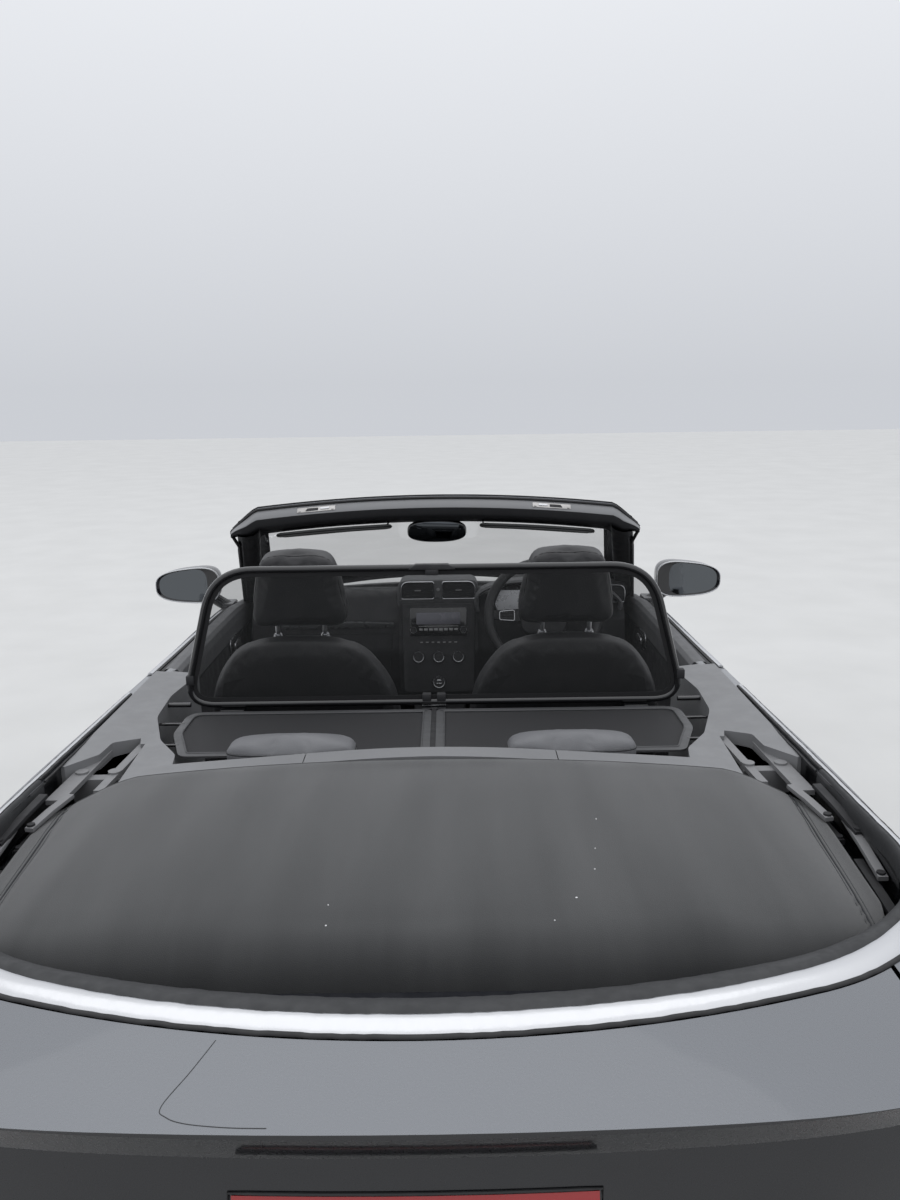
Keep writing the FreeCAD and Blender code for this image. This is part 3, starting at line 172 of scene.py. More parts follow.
glass = look("glass_clear", (0.8, 0.86, 0.85), 0.02, 0, (0.015, 0.03, 4), Transmission_Weight=1.0, Alpha=0.35)
grey_leather = look("leather_grey", (0.14, 0.142, 0.15), 0.5, grain=LEATHER_GRAIN,
                    shades=((0.125, 0.127, 0.135), (0.16, 0.162, 0.17), 14))
dark_leather = look("leather_dark", (0.022, 0.022, 0.024), 0.46, grain=LEATHER_GRAIN,
                    shades=((0.018, 0.018, 0.02), (0.03, 0.03, 0.032), 14))
roof_cloth = look("cloth_roof", (0.04, 0.041, 0.042), 0.92, grain=CLOTH_GRAIN, Sheen_Weight=0.3,
    Sheen_Roughness=0.5,
                  shades=((0.033, 0.034, 0.035), (0.049, 0.05, 0.051), 3.0, (5, 0.7, 1)))
net_cloth = look("net_black", (0.02, 0.021, 0.021), 0.85, grain=(CELLS, 700, 0.5, 0.0005), Alpha=0.42)
thread = look("thread_black", (0.012, 0.012, 0.013), 0.75, 0, (0.65, 0.85, 300))
dark_thread = look("thread_charcoal", (0.03, 0.031, 0.034), 0.8, 0, (0.7, 0.9, 300))
pale_thread = look("thread_grey", (0.16, 0.16, 0.165), 0.7, 0, (0.6, 0.8, 300))
roof_lining = look("cloth_lining", (0.008, 0.009, 0.013), 0.95, 0, (0.85, 1.0, 60))
binding_cloth = look("cloth_binding", (0.012, 0.012, 0.013), 0.88, grain=CLOTH_GRAIN)
panel_grey = look("panel_frame_grey", (0.075, 0.076, 0.079), 0.45, 0, (0.38, 0.52, 30))
panel_net = look("net_grey", (0.03, 0.03, 0.032), 0.85, grain=(CELLS, 800, 0.5, 0.0005), Alpha=0.88)
seal_rubber = look("rubber_seal", (0.012, 0.012, 0.013), 0.55, 0, (0.48, 0.62, 60))
# Black rubber made lighter grey than the other seals: a painted sheen of the sky on the seal inside the
# bright strip.
seal_painted_sheen = look("rubber_seal_painted_sheen", (0.028, 0.029, 0.031), 0.6, 0, (0.5, 0.7, 50))
bright_trim = look("metal_bright_trim", (0.66, 0.665, 0.68), 0.2, 1, (0.15, 0.26, 90),
    grain=(CELLS, 320, 0.12, 0.0003))
trim_pad = look("trim_pad_grey", (0.105, 0.106, 0.11), 0.55, 0, (0.48, 0.62, 25),
    grain=(CELLS, 520, 0.35, 0.0004))
mirror_black = look("paint_gloss_black", (0.006, 0.006, 0.008), 0.14, 0, (0.1, 0.2, 14),
                    Coat_Weight=0.6, Coat_Roughness=0.04)
# The mirror glass is made much darker than a silver mirror: a painted reflection of the dark surroundings it
# would show.
mirror_painted_dark = look("mirror_painted_dark", (0.13, 0.14, 0.15), 0.03, 1, (0.02, 0.05, 10))
header_grey = look("trim_header_grey", (0.22, 0.222, 0.228), 0.42, 0, (0.36, 0.48, 30))
visor_grey = look("cloth_visor_grey", (0.09, 0.092, 0.09), 0.85, 0, (0.75, 0.92, 50))
mark_grey = look("mark_grey", (0.3, 0.3, 0.3), 0.5, 0, (0.45, 0.6, 200))
display_grey = look("display_grey", (0.14, 0.14, 0.165), 0.25, 0, (0.2, 0.3, 20))
satin_dark = look("trim_satin_dark", (0.11, 0.112, 0.115), 0.3, 0.5, (0.25, 0.36, 40))
satin_grey = look("plastic_link_grey", (0.2, 0.2, 0.205), 0.45, 0, (0.4, 0.52, 50))
scratch_grey = look("scratch_dark", (0.03, 0.031, 0.034), 0.5, 0, (0.4, 0.6, 90))
# Raindrops are real, but their opaque white colour is a painted glint of the light they catch.
speck_painted_glint = look("speck_painted_glint", (0.75, 0.75, 0.75), 0.6, 0, (0.5, 0.7, 90))
red_bright = look("lamp_red_bright", (0.42, 0.012, 0.014), 0.2, 0, (0.15, 0.25, 30))
plate_blank = look("plate_blank", (0.6, 0.6, 0.58), 0.4, 0, (0.35, 0.45, 30))
carpet = look("carpet_black", (0.014, 0.014, 0.015), 0.95, grain=(NOISE, 900, 0.7, 0.001))

SLOT_LOOKS = {
    "car_paint": paint, "black_trim": black_plastic, "gloss_black": gloss_black, "lamp_glass": clear_lamp,
    "red_lamp": red_lamp, "satin_metal": satin_metal, "screen_glass": glass, "steel": dark_steel,
    "bright_steel": bright_steel, "cast": cast_iron, "grey_leather": grey_leather,
    "dark_leather": dark_leather, "grey_trim": grey_plastic, "net_cloth": net_cloth,
    "roof_cloth": roof_cloth, "tyre": rubber, "alloy": alloy,
}


def dress(node, material):
    """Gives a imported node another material."""
    slots = nodes[node].data.materials
    slots.clear()
    slots.append(material)


for entry in frame["record"]["subparts"]:
    dress(entry["node"] if "node" in entry else entry["name"], SLOT_LOOKS[entry["material_slot"]])
dress("roof_linkage", satin_grey)

SIDES = ((1, "left"), (-1, "right"))
DOWN = Vector((0, 0, -1))
ACROSS = (0, 1, 0)

# Shapes: each gives its corners and faces


def smooth_path(points, steps, closed=False):
    """A rounded line through the points."""
    points = [Vector(p) for p in points]
    count = len(points)
    line = []
    for i in range(count if closed else count - 1):
        if closed:
            a, b, c, d = (points[(i + k) % count] for k in (-1, 0, 1, 2))
        else:
            a, b, c, d = (points[min(max(i + k, 0), count - 1)] for k in (-1, 0, 1, 2))
        for step in range(steps):
            t = step / steps
            line.append(0.5 * (2 * b + (c - a) * t + (2 * a - 5 * b + 4 * c - d) * t * t
                               + (3 * b - a - 3 * c + d) * t ** 3))
    if not closed:
        line.append(points[-1])
    return line


def grid_faces(rows, wide, round_across=False, round_along=False):
    """Faces between rows of points; either way round may close on itself."""
    faces = []
    for j in range(rows if round_along else rows - 1):
        here = j * wide
        there = (j + 1) % rows * wide
        for i in range(wide if round_across else wide - 1):
            i2 = (i + 1) % wide
            faces.append((here + i, here + i2, there + i2, there + i))
    return faces


def squared(turn, power):
    """A place on a circle drawn out towards a square."""
    c = math.cos(turn)
    s = math.sin(turn)
    reach = (abs(c) ** power + abs(s) ** power) ** (-1 / power)
    return c * reach, s * reach


def round_the(count):
    """Evenly spaced turns, in radians."""
    return [2 * math.pi * i / count for i in range(count)]


def ring(radius, sides, tall=1.0):
    """A round or oval section."""
    return [(radius * math.cos(turn), radius * tall * math.sin(turn)) for turn in round_the(sides)]


def swept(path, section, closed=False, up=(0, 0, 1)):
    """A section of (sideways, upwards) points carried along a path."""
    path = [Vector(p) for p in path]
    count = len(path)
    sides = len(section)
    verts = []
    for i, point in enumerate(path):
        before = path[i - 1] if closed or i else path[0]
        after = path[(i + 1) % count] if closed or i < count - 1 else path[-1]
        along = (after - before).normalized()
        side = along.cross(Vector(up))
        side = side.normalized() if side.length > 1e-6 else Vector((1, 0, 0))
        rise = side.cross(along)
        verts.extend(point + side * a + rise * b for a, b in section)
    faces = grid_faces(count, sides, True, closed)
    if not closed:
        faces.append(tuple(range(sides)))
        faces.append(tuple((count - 1) * sides + k for k in reversed(range(sides))))
    return verts, faces


def tube(path, radius, sides, closed=False):
    """A round bar along a path."""
    return swept(path, ring(radius, sides), closed)


def lathe(profile, centre, axis, steps):
    """A profile of (radius, along) points turned about an axis; ends are closed."""
    axis = Vector(axis).normalized()
    side = axis.orthogonal().normalized()
    rise = axis.cross(side)
    centre = Vector(centre)
    verts = []
    for i in range(steps):
        turn = 2 * math.pi * i / steps
        spoke = side * math.cos(turn) + rise * math.sin(turn)
        verts.extend(centre + spoke * r + axis * h for r, h in profile)
    rows = len(profile)
    faces = []
    for i in range(steps):
        here = i * rows
        there = (i + 1) % steps * rows
        for k in range(rows - 1):
            faces.append((here + k, there + k, there + k + 1, here + k + 1))
    faces.append(tuple(i * rows for i in range(steps)))
    faces.append(tuple(i * rows + rows - 1 for i in reversed(range(steps))))
    return verts, faces


def rounded_outline(points, steps):
    """Corners of an outline from (a, b, corner radius) points, rounded."""
    outline = []
    count = len(points)
    for i, point in enumerate(points):
        here = Vector(point[:2])
        radius = point[2] if len(point) > 2 else 0
        if radius <= 0:
            outline.append(here)
            continue
        back = (Vector(points[i - 1][:2]) - here)
        ahead = (Vector(points[(i + 1) % count][:2]) - here)
        half = back.angle(ahead) / 2
        reach = min(radius / math.tan(half), back.length * 0.499, ahead.length * 0.499)
        start = here + back.normalized() * reach
        end = here + ahead.normalized() * reach
        for step in range(steps + 1):
            t = step / steps
            outline.append(start * (1 - t) ** 2 + here * 2 * t * (1 - t) + end * t * t)
    return outline


def rectangle(left, low, right, high, corner, steps):
    """A rounded rectangle's outline."""
    return rounded_outline([(left, low, corner), (right, low, corner), (right, high, corner),
        (left, high, corner)], steps)


def trapezium(low_half, low, low_corner, high_half, high, high_corner, steps):
    """A rounded outline with sloping sides, even about the middle of the car."""
    return rounded_outline([
        (-low_half, low, low_corner), (low_half, low, low_corner),
        (high_half, high, high_corner), (-high_half, high, high_corner)], steps)


def drawn_in(outline, amount):
    """An outline moved inwards."""
    count = len(outline)
    turned = sum(a.x * b.y - b.x * a.y for a, b in zip(outline, outline[1:] + outline[:1]))
    sign = 1 if turned > 0 else -1
    moved = []
    for i, here in enumerate(outline):
        back = here - outline[i - 1]
        ahead = outline[(i + 1) % count] - here
        normal = Vector((0, 0))
        for run in (back, ahead):
            if run.length > 1e-7:
                normal += Vector((-run.y, run.x)).normalized()
        moved.append(here + normal.normalized() * amount * sign)
    return moved


def slab(outline, low, high, put, edge):
    """A plate with softened edges; put(a, b, height) gives each place."""
    outline = [Vector(p[:2]) for p in outline]
    rings = [(0, low + edge), (0, high - edge)]
    if edge:
        rings = [(edge, low), (edge * 0.3, low + edge * 0.3)] + rings + [(edge * 0.3, high - edge * 0.3),
            (edge, high)]
    verts = []
    for inset, height in rings:
        for point in drawn_in(outline, inset):
            verts.append(Vector(put(point.x, point.y, height)))
    count = len(outline)
    faces = grid_faces(len(rings), count, True)
    faces.append(tuple(reversed(range(count))))
    faces.append(tuple((len(rings) - 1) * count + k for k in range(count)))
    return verts, faces


def patch(point, across, along, closed=False):
    """An open sheet: point(u, v) for u and v from 0 to 1."""
    verts = []
    for j in range(along + 1):
        for i in range(across + (0 if closed else 1)):
            verts.append(Vector(point(i / across, j / along)))
    return verts, grid_faces(along + 1, across if closed else across + 1, closed)


def rounded_box(shape, cuts, power):
    """A closed cushion: a cube's skin drawn towards a ball, then given its form by shape(x, y, z)."""
    verts = []
    index = {}
    faces = []
    span = [math.sin(math.pi / 2 * (2 * i / cuts - 1)) * 0.35 + (2 * i / cuts - 1) * 0.65
        for i in range(cuts + 1)]

    def corner(key):
        if key not in index:
            point = [span[k] for k in key]
            reach = sum(abs(c) ** power for c in point) ** (1 / power)
            index[key] = len(verts)
            verts.append(Vector(shape(*(c / reach for c in point))))
        return index[key]

    for axis in range(3):
        for end in (0, cuts):
            for i in range(cuts):
                for j in range(cuts):
                    quad = []
                    for a, b in ((i, j), (i + 1, j), (i + 1, j + 1), (i, j + 1)):
                        key = [a, b]
                        key.insert(axis, end)
                        quad.append(corner(tuple(key)))
                    flip = (end == 0) != (axis == 1)
                    faces.append(tuple(reversed(quad)) if flip else tuple(quad))
    return verts, faces


def lying(a, b, h):
    """Puts an outline flat, its height upwards."""
    return a, b, h


def standing(a, b, h):
    """Puts an outline upright across the car, its height rearwards."""
    return a, h, b


def box_shape(low, high, edge):
    """A block between two corners with softened edges."""
    return slab(rectangle(*low[:2], *high[:2], edge, 2), low[2], high[2], lying, edge)


def tilted(form, turn, about):
    """A form turned by degrees about a line across the car."""
    spin = Matrix.Rotation(math.radians(turn), 3, "X")
    about = Vector(about)
    return [spin @ (v - about) + about for v in form[0]], form[1]


def flipped(form):
    """The same form on the other side of the car."""
    return [Vector((-v.x, v.y, v.z)) for v in form[0]], [tuple(reversed(f)) for f in form[1]]


def pair(*forms):
    """Forms and their mirror images."""
    return [*forms, *(flipped(f) for f in forms)]


def piece(name, material, forms, body="car_body", sharp=35):
    """One object made of several forms, riding on a body."""
    forms = forms if isinstance(forms, list) else [forms]
    verts = []
    faces = []
    for form_verts, form_faces in forms:
        start = len(verts)
        verts.extend(form_verts)
        faces.extend(tuple(k + start for k in face) for face in form_faces)
    mesh = bpy.data.meshes.new(name)
    mesh.from_pydata([tuple(v) for v in verts], [], faces)
    mesh.materials.append(material)
    made = bmesh.new()
    made.from_mesh(mesh)
    bmesh.ops.recalc_face_normals(made, faces=made.faces)
    made.to_mesh(mesh)
    made.free()
    mesh.polygons.foreach_set("use_smooth", [True] * len(mesh.polygons))
    mesh.set_sharp_from_angle(angle=math.radians(sharp))
    mesh.update()
    made_piece = bpy.data.objects.new(name, mesh)
    bpy.context.scene.collection.objects.link(made_piece)
    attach(made_piece, body)
    return made_piece


def skin_of(*names):
    """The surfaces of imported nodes, to lay things on."""
    verts = []
    faces = []
    for name in names:
        mesh = nodes[name].data
        start = len(verts)
        verts.extend(v.co.copy() for v in mesh.vertices)
        faces.extend([k + start for k in p.vertices] for p in mesh.polygons)
    return BVHTree.FromPolygons(verts, faces)


def skin_of_piece(made_piece):
    """The surface of a made piece, to lay seams on."""
    mesh = made_piece.data
    return BVHTree.FromPolygons([v.co.copy() for v in mesh.vertices],
        [list(p.vertices) for p in mesh.polygons])


def laid(skin, points, towards, lift, start=1.0):
    """Points thrown onto a surface along a direction; the ones that miss are left out."""
    towards = Vector(towards).normalized()
    found = []
    for point in points:
        hit = skin.ray_cast(Vector(point) - towards * start, towards)[0]
        if hit is not None:
            found.append(hit - towards * lift)
    return found


def nearest(skin, points, lift=0.0):
    """Points pulled onto the nearest place of a surface."""
    found = []
    for point in points:
        hit, normal, _, _ = skin.find_nearest(Vector(point))
        found.append(hit + normal * lift)
    return found


def below(skin, x, y):
    """The place on a surface that lies under a point."""
    return skin.ray_cast(Vector((x, y, 2)), DOWN)[0]


def ease(low, high, value):
    """0 below low, 1 above high, and smooth between."""
    t = min(max((value - low) / (high - low), 0), 1)
    return t * t * (3 - 2 * t)


def stitched(path, pitch, radius):
    """Short stitches along a path."""
    path = [Vector(p) for p in path]
    forms = []
    travelled = 0.0
    wanted = 0.0
    for a, b in zip(path, path[1:]):
        run = (b - a).length
        while run > 0 and wanted <= travelled + run:
            along = (b - a).normalized()
            middle = a + along * (wanted - travelled)
            forms.append(tube([middle - along * pitch * 0.33, middle + along * pitch * 0.33], radius, 5))
            wanted += pitch
        travelled += run
    return forms

# Soft furnishings


COVER_PRESSURE = 4.0
COVER_GRID = 0.0055
COVER_FRAMES = 16


def settle(soft, cap):
    """Lets a cushion swell as a filled cover under cloth, moving no point further than the cap."""
    scene = bpy.context.scene
    remesh = soft.modifiers.new("even", "REMESH")
    remesh.mode = "VOXEL"
    remesh.voxel_size = COVER_GRID
    grid = bpy.context.evaluated_depsgraph_get()
    even = bpy.data.meshes.new_from_object(soft.evaluated_get(grid), depsgraph=grid)
    soft.modifiers.clear()
    even.materials.clear()
    even.materials.append(soft.data.materials[0])
    soft.data = even
    before = [v.co.copy() for v in even.vertices]
    cloth = soft.modifiers.new("cover", "CLOTH")
    cloth.settings.use_pressure = True
    cloth.settings.uniform_pressure_force = COVER_PRESSURE
    cloth.settings.effector_weights.gravity = 0
    cloth.settings.quality = 3
    scene.frame_start = 1
    scene.frame_end = COVER_FRAMES
    for tick in range(1, COVER_FRAMES + 1):
        scene.frame_set(tick)
    grid = bpy.context.evaluated_depsgraph_get()
    swollen = bpy.data.meshes.new_from_object(soft.evaluated_get(grid), depsgraph=grid)
    for vertex, old in zip(swollen.vertices, before):
        move = vertex.co - old
        if move.length > cap:
            vertex.co = old + move.normalized() * cap
    soft.modifiers.clear()
    swollen.materials.clear()
    swollen.materials.append(even.materials[0])
    soft.data = swollen
    soft.data.polygons.foreach_set("use_smooth", [True] * len(swollen.polygons))
    scene.frame_set(1)


def twin(soft, name):
    """A mirrored copy of a cushion, on the other side of the car."""
    mesh = soft.data.copy()
    for vertex in mesh.vertices:
        vertex.co.x = -vertex.co.x
    mesh.flip_normals()
    mesh.update()
    other = bpy.data.objects.new(name, mesh)
    bpy.context.scene.collection.objects.link(other)
    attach(other, "car_body")
    return other


def cushion(name, node, material, form, cap):
    """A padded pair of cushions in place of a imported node."""
    soft = piece(f"{name}_left", material, form)
    settle(soft, cap)
    for each in (soft, twin(soft, f"{name}_right")):
        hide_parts(node)
    return soft


SEAT_X = 0.336
RECLINE = 14


def reclined(form):
    """Turns a seat back's form about its hinge."""
    return tilted(form, -RECLINE, (SEAT_X, 0.32, 0.43))


def base_form(x, y, z):
    """The front seat's cushion: raised sides, a round front and a sewn middle."""
    side = abs(x)
    front = ease(-0.4, -1.0, y)
    half = 0.228 - 0.02 * ease(0.2, 1.0, y)
    bolster = 0.032 * ease(0.5, 0.8, side) - 0.014 * ease(0.86, 1.0, side)
    channel = -0.006 * math.exp(-((side - 0.56) / 0.03) ** 2)
    crown = 0.010 * (1 - min(side / 0.56, 1) ** 2)
    across = -0.005 * math.exp(-((y + 0.42) / 0.035) ** 2) if side < 0.56 else 0
    top = 0.444 + bolster + channel + crown + across + 0.012 * front - 0.016 * ease(0.1, 1, y)
    low = 0.352 + 0.03 * front
    height = low + (top - low) * (z + 1) / 2
    return SEAT_X + half * x, 0.064 + 0.318 * y, height


def back_form(x, y, z):
    """The front seat's back before it reclines: wings beside a hollow middle, under sloping shoulders."""
    t = (z + 1) / 2
    side = abs(x)
    half = 0.224 + 0.022 * math.sin(math.pi * min(t * 1.05, 1)) - 0.012 * ease(0.8, 1.0, t)
    height = 0.462 + 0.682 * t - 0.052 * side ** 2.5 * ease(0.5, 1.0, t)
    thick = 0.062 - 0.02 * ease(0.5, 1.0, t)
    middle = 0.330 + 0.004 * t
    wing = 0.040 * ease(0.5, 0.86, side) * (1 - 0.65 * ease(0.6, 1, t))
    lumbar = -0.012 * math.exp(-((t - 0.28) / 0.2) ** 2)
    channel = 0.006 * math.exp(-((side - 0.55) / 0.03) ** 2)
    seam = 0.005 * math.exp(-((t - 0.62) / 0.02) ** 2) if side < 0.55 else 0
    if y < 0:
        depth = middle + thick * y - (wing - channel - seam - 0.016) * -y + lumbar * -y
    else:
        depth = middle + thick * y * (1 - 0.12 * side ** 2)
    return SEAT_X + half * x, depth, height


def rest_form(x, y, z):
    """A front headrest: narrower at its top, its face leaning forward."""
    t = (z + 1) / 2
    half = 0.127 - 0.037 * t
    height = 1.150 + 0.193 * t - 0.006 * x * x * ease(0.5, 1, t)
    thick = 0.044 - 0.008 * t
    return SEAT_X + half * x, 0.272 + thick * y * (1 - 0.1 * x * x) - 0.006 * t, height


front_base = cushion("seat_base", "front_seat_bases", dark_leather, rounded_box(base_form, 26, 7), 0.005)
front_back = cushion("seat_back", "front_seat_backs", dark_leather, reclined(rounded_box(back_form, 28, 6)),
    0.005)
front_rest = cushion("headrest", "front_headrests", dark_leather, reclined(rounded_box(rest_form, 18, 7)),
    0.004)


def seams_on(name, skin_piece, lines):
    """Sewn seams laid on a cushion and its twin."""
    skin = skin_of_piece(skin_piece)
    piece(name, thread, pair(*(tube(nearest(skin, smooth_path(line, 8)), 0.0011, 6) for line in lines)))


def base_edge(side, low, high):
    return [Vector(base_form(side, low + (high - low) * i / 12, 1)) for i in range(13)]


def back_edge(side, low, high):
    rows = [Vector(back_form(side, -1, low + (high - low) * i / 14)) for i in range(15)]
    return reclined((rows, []))[0]


seams_on("seat_base_seams", front_base, [
    base_edge(0.57, -0.93, 0.95), base_edge(-0.57, -0.93, 0.95),
    [Vector(base_form(-0.57 + 1.14 * i / 10, -0.42, 1)) for i in range(11)],
])
seams_on("seat_back_seams", front_back, [
    back_edge(0.56, -0.8, 0.93), back_edge(-0.56, -0.8, 0.93),
    reclined(([Vector(back_form(-0.56 + 1.12 * i / 10, -1, 0.24)) for i in range(11)], []))[0],
])


rest_loop = [squared(turn, 7) for turn in round_the(48)]
rest_loop = [Vector(rest_form(a * 0.97, 0.55, b * 0.97)) for a, b in rest_loop]
rest_seam = nearest(skin_of_piece(front_rest), reclined((rest_loop, []))[0])
piece("headrest_seams", thread, pair(tube(rest_seam, 0.0011, 6, True)))
posts = []
for dx in (-0.06, 0.06):
    posts.append(reclined(tube([(SEAT_X + dx, 0.30, 1.08), (SEAT_X + dx, 0.29, 1.16)], 0.006, 14)))
    posts.append(reclined(lathe([(0.0, 1.108), (0.013, 1.108), (0.014, 1.114), (0.010, 1.128), (0.0, 1.128)],
                                (SEAT_X + dx, 0.296, 0), (0, 0, 1), 16)))
piece("headrest_posts", satin_metal, pair(*posts))


def shell_point(u, v):
    """The hard rear face of a front seat back."""
    side = -0.86 + 1.72 * u
    t = -0.86 + 1.62 * v
    place = back_form(side, 1.0, t)
    return place[0], place[1] + 0.003 - 0.004 * abs(side) ** 6, place[2]


piece("seat_back_shells", black_plastic, pair(reclined(patch(shell_point, 16, 22))))
pocket = [Vector(shell_point(0.12 + 0.76 * i / 12, 0.44 - 0.02 * math.sin(math.pi * i / 12)))
    for i in range(13)]
piece("seat_back_pockets", thread,
    pair(reclined(tube([p + Vector((0, 0.002, 0)) for p in pocket], 0.004, 8))))


def bench_form(x, y, z):
    """One place of the rear seat: a hollow middle and a round front edge."""
    t = (z + 1) / 2
    front = ease(-0.5, -1.0, y)
    dish = -0.012 * (1 - x * x) * (1 - ease(0.5, 1, abs(y)))
    channel = -0.006 * math.exp(-((abs(x) - 0.62) / 0.03) ** 2)
    cross = -0.005 * math.exp(-((y + 0.5) / 0.04) ** 2) if abs(x) < 0.62 else 0
    top = 0.436 + dish + channel + cross - 0.022 * ease(0.2, 1.0, y) - 0.004 * front
    return 0.3435 + 0.236 * x, 0.776 + 0.192 * y, 0.308 + (top - 0.308) * t


def rear_back_form(x, y, z):
    """One place of the rear seat's back, leaning a little."""
    t = (z + 1) / 2
    channel = 0.006 * math.exp(-((abs(x) - 0.6) / 0.03) ** 2)
    cross = 0.005 * math.exp(-((t - 0.72) / 0.025) ** 2) if abs(x) < 0.6 else 0
    dish = 0.014 * (1 - x * x) * math.sin(math.pi * t)
    front = 0.872 + 0.028 * t + dish + channel + cross
    rear = 0.984 + 0.012 * t
    depth = front + (rear - front) * (y + 1) / 2
    return 0.316 + 0.25 * x, depth, 0.418 + 0.470 * t - 0.01 * x * x * ease(0.7, 1, t)


def rear_rest_form(x, y, z):
    """A rear headrest: a flat oval pad lying over the seat back."""
    t = (z + 1) / 2
    half = 0.137 - 0.004 * (1 - t)
    crown = 0.006 * (1 - x * x) * (1 - y * y)
    return 0.295 + half * x, 0.926 + (0.042 - 0.003 * x * x) * y, 0.912 + 0.092 * t + crown * t


cushion("rear_seat", "rear_bench", dark_leather, rounded_box(bench_form, 22, 6), 0.005)
cushion("rear_seat_back", "rear_backrest", dark_leather, rounded_box(rear_back_form, 24, 7), 0.005)
rear_rest = cushion("rear_headrest", "rear_headrests", grey_leather, rounded_box(rear_rest_form, 20, 5),
    0.004)
rear_skin = skin_of_piece(rear_rest)
forms = []
for level in (0.60, 0.42):
    loop = nearest(rear_skin, [rear_rest_form(*squared(turn, 5), level) for turn in round_the(72)], 0.0002)
    forms.extend(stitched(loop + loop[:1], 0.0075, 0.0007))
middle_loop = [rear_rest_form(*squared(turn, 5), 0.51) for turn in round_the(72)]
piece("rear_headrest_stitches", pale_thread, pair(*forms))
piece("rear_headrest_seams", thread, pair(tube(nearest(rear_skin, middle_loop), 0.0012, 6, True)))
rear_posts = [tube([(x, 0.926, 0.865), (x, 0.926, 0.93)], 0.006, 14) for x in (0.245, 0.345)]
piece("rear_headrest_posts", satin_metal, pair(*rear_posts))

# Folded roof


def roof_half(t):
    """Half width of the folded cloth, from its front edge to its rear one."""
    y = 1.046 + 0.67 * t
    if y < 1.13:
        return 0.712 + 0.026 * ease(1.046, 1.13, y)
    return 0.738 - 0.032 * ease(1.1, 1.62, y) - 0.05 * ease(1.56, 1.72, y)


def roof_front(x):
    """The cloth's front edge, bowed to the rear towards its corners."""
    return 1.047 + 0.026 * min(abs(x) / 0.6, 1) ** 2 + 0.02 * ease(0.62, 0.74, abs(x))


def roof_rear(x):
    """The cloth's rear edge, nearly straight."""
    return 1.722 - 0.028 * min(abs(x) / 0.63, 1) ** 2 - 0.055 * ease(0.56, 0.7, abs(x))


def roof_crown(x):
    """How far the cloth lies below its middle."""
    side = abs(x)
    return -0.021 * (side / 0.6) ** 2 - 0.045 * ease(0.56, 0.735, side)


ROOF_RUN = [
    (0.000, 0.900), (0.000, 0.965), (0.001, 0.985), (0.006, 0.998), (0.016, 1.006), (0.035, 1.010),
    (0.10, 1.014), (0.25, 1.020), (0.45, 1.0225), (0.65, 1.022), (0.80, 1.018), (0.88, 1.013), (0.93, 1.006),
    (0.962, 0.994), (0.983, 0.976), (0.996, 0.95), (1.000, 0.925), (1.000, 0.895),
]


def along_run(run, v):
    """A point of a run of (place, height) pairs, rounded between them."""
    spot = v * (len(run) - 1)
    i = min(int(spot), len(run) - 2)
    t = spot - i
    a, b, c, d = (run[min(max(i + k, 0), len(run) - 1)] for k in (-1, 0, 1, 2))
    return [0.5 * (2 * q + (r - p) * t + (2 * p - 5 * q + 4 * r - s) * t * t
        + (3 * q - p - 3 * r + s) * t ** 3)
            for p, q, r, s in zip(a, b, c, d)]


def roof_point(u, v):
    """The cloth over its folded layers: soft folds, a sewn band at each side and rolled edges."""
    spread = 2 * u - 1
    place, height = along_run(ROOF_RUN, v)
    half = roof_half(min(max(place, 0), 1))
    side = abs(spread)
    roll = ease(0.965, 1.0, side)
    x = half * min(side, 0.985) / 0.985 * (1 if spread > 0 else -1)
    drop = roof_crown(x)
    y = roof_front(x) + (roof_rear(x) - roof_front(x)) * place
    on_top = ease(0.9, 1.0, height)
    folds = 0.0016 * math.sin(x * 41 + 1.3 * math.sin(y * 3.1)) * math.sin(y * 5.2 + x * 3)
    sag = -0.004 * math.exp(-((x - 0.05) / 0.16) ** 2) + 0.003 * math.exp(-((abs(x) - 0.36) / 0.1) ** 2)
    seam = -0.0035 * math.exp(-((abs(x) - seam_side(place)) / 0.0035) ** 2)
    lift = (folds + sag) * ease(0.0, 0.1, place) * (1 - ease(0.88, 1, place)) + seam
    z = height + (drop + lift) * on_top - 0.072 * roll * ease(0.9, 0.99, height)
    return x, y, max(z, 0.888)


def seam_side(place):
    """How far from the middle the side seam lies."""
    run = max(0.67 * place - 0.04, 0)
    return 0.698 - 0.17 * run + 0.105 * run * run


roof = piece("roof_cloth", roof_cloth, patch(roof_point, 180, 96), sharp=80)
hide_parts("folded_roof")
roof_skin = skin_of_piece(roof)
lines = []
for side in (1, -1):
    over = [(side * seam_side(i / 40 * 0.94), roof_front(seam_side(0)) + 0.63 * i / 40, 1.3)
        for i in range(1, 41)]
    lines.append(tube(laid(roof_skin, over, (0, 0, -1), 0.0004), 0.0016, 6))
piece("roof_side_seams", dark_thread, lines)
twin_lines = []
for side in (1, -1):
    for shift in (0.007, -0.007):
        over = [(side * (seam_side(i / 60 * 0.9) + shift), roof_front(0.69) + 0.01 + 0.60 * i / 60, 1.3)
            for i in range(61)]
        twin_lines.extend(stitched(laid(roof_skin, over, (0, 0, -1), 0.0002), 0.0055, 0.0006))
piece("roof_stitches", dark_thread, twin_lines)
front_bead = [(0.715 * (2 * i / 60 - 1), 0, 0) for i in range(61)]
front_bead = [Vector((x, roof_front(x) + 0.011, 1.3)) for x, _, _ in front_bead]
piece("roof_front_hem", roof_cloth, tube(laid(roof_skin, front_bead, (0, 0, -1), -0.001), 0.0032, 8))


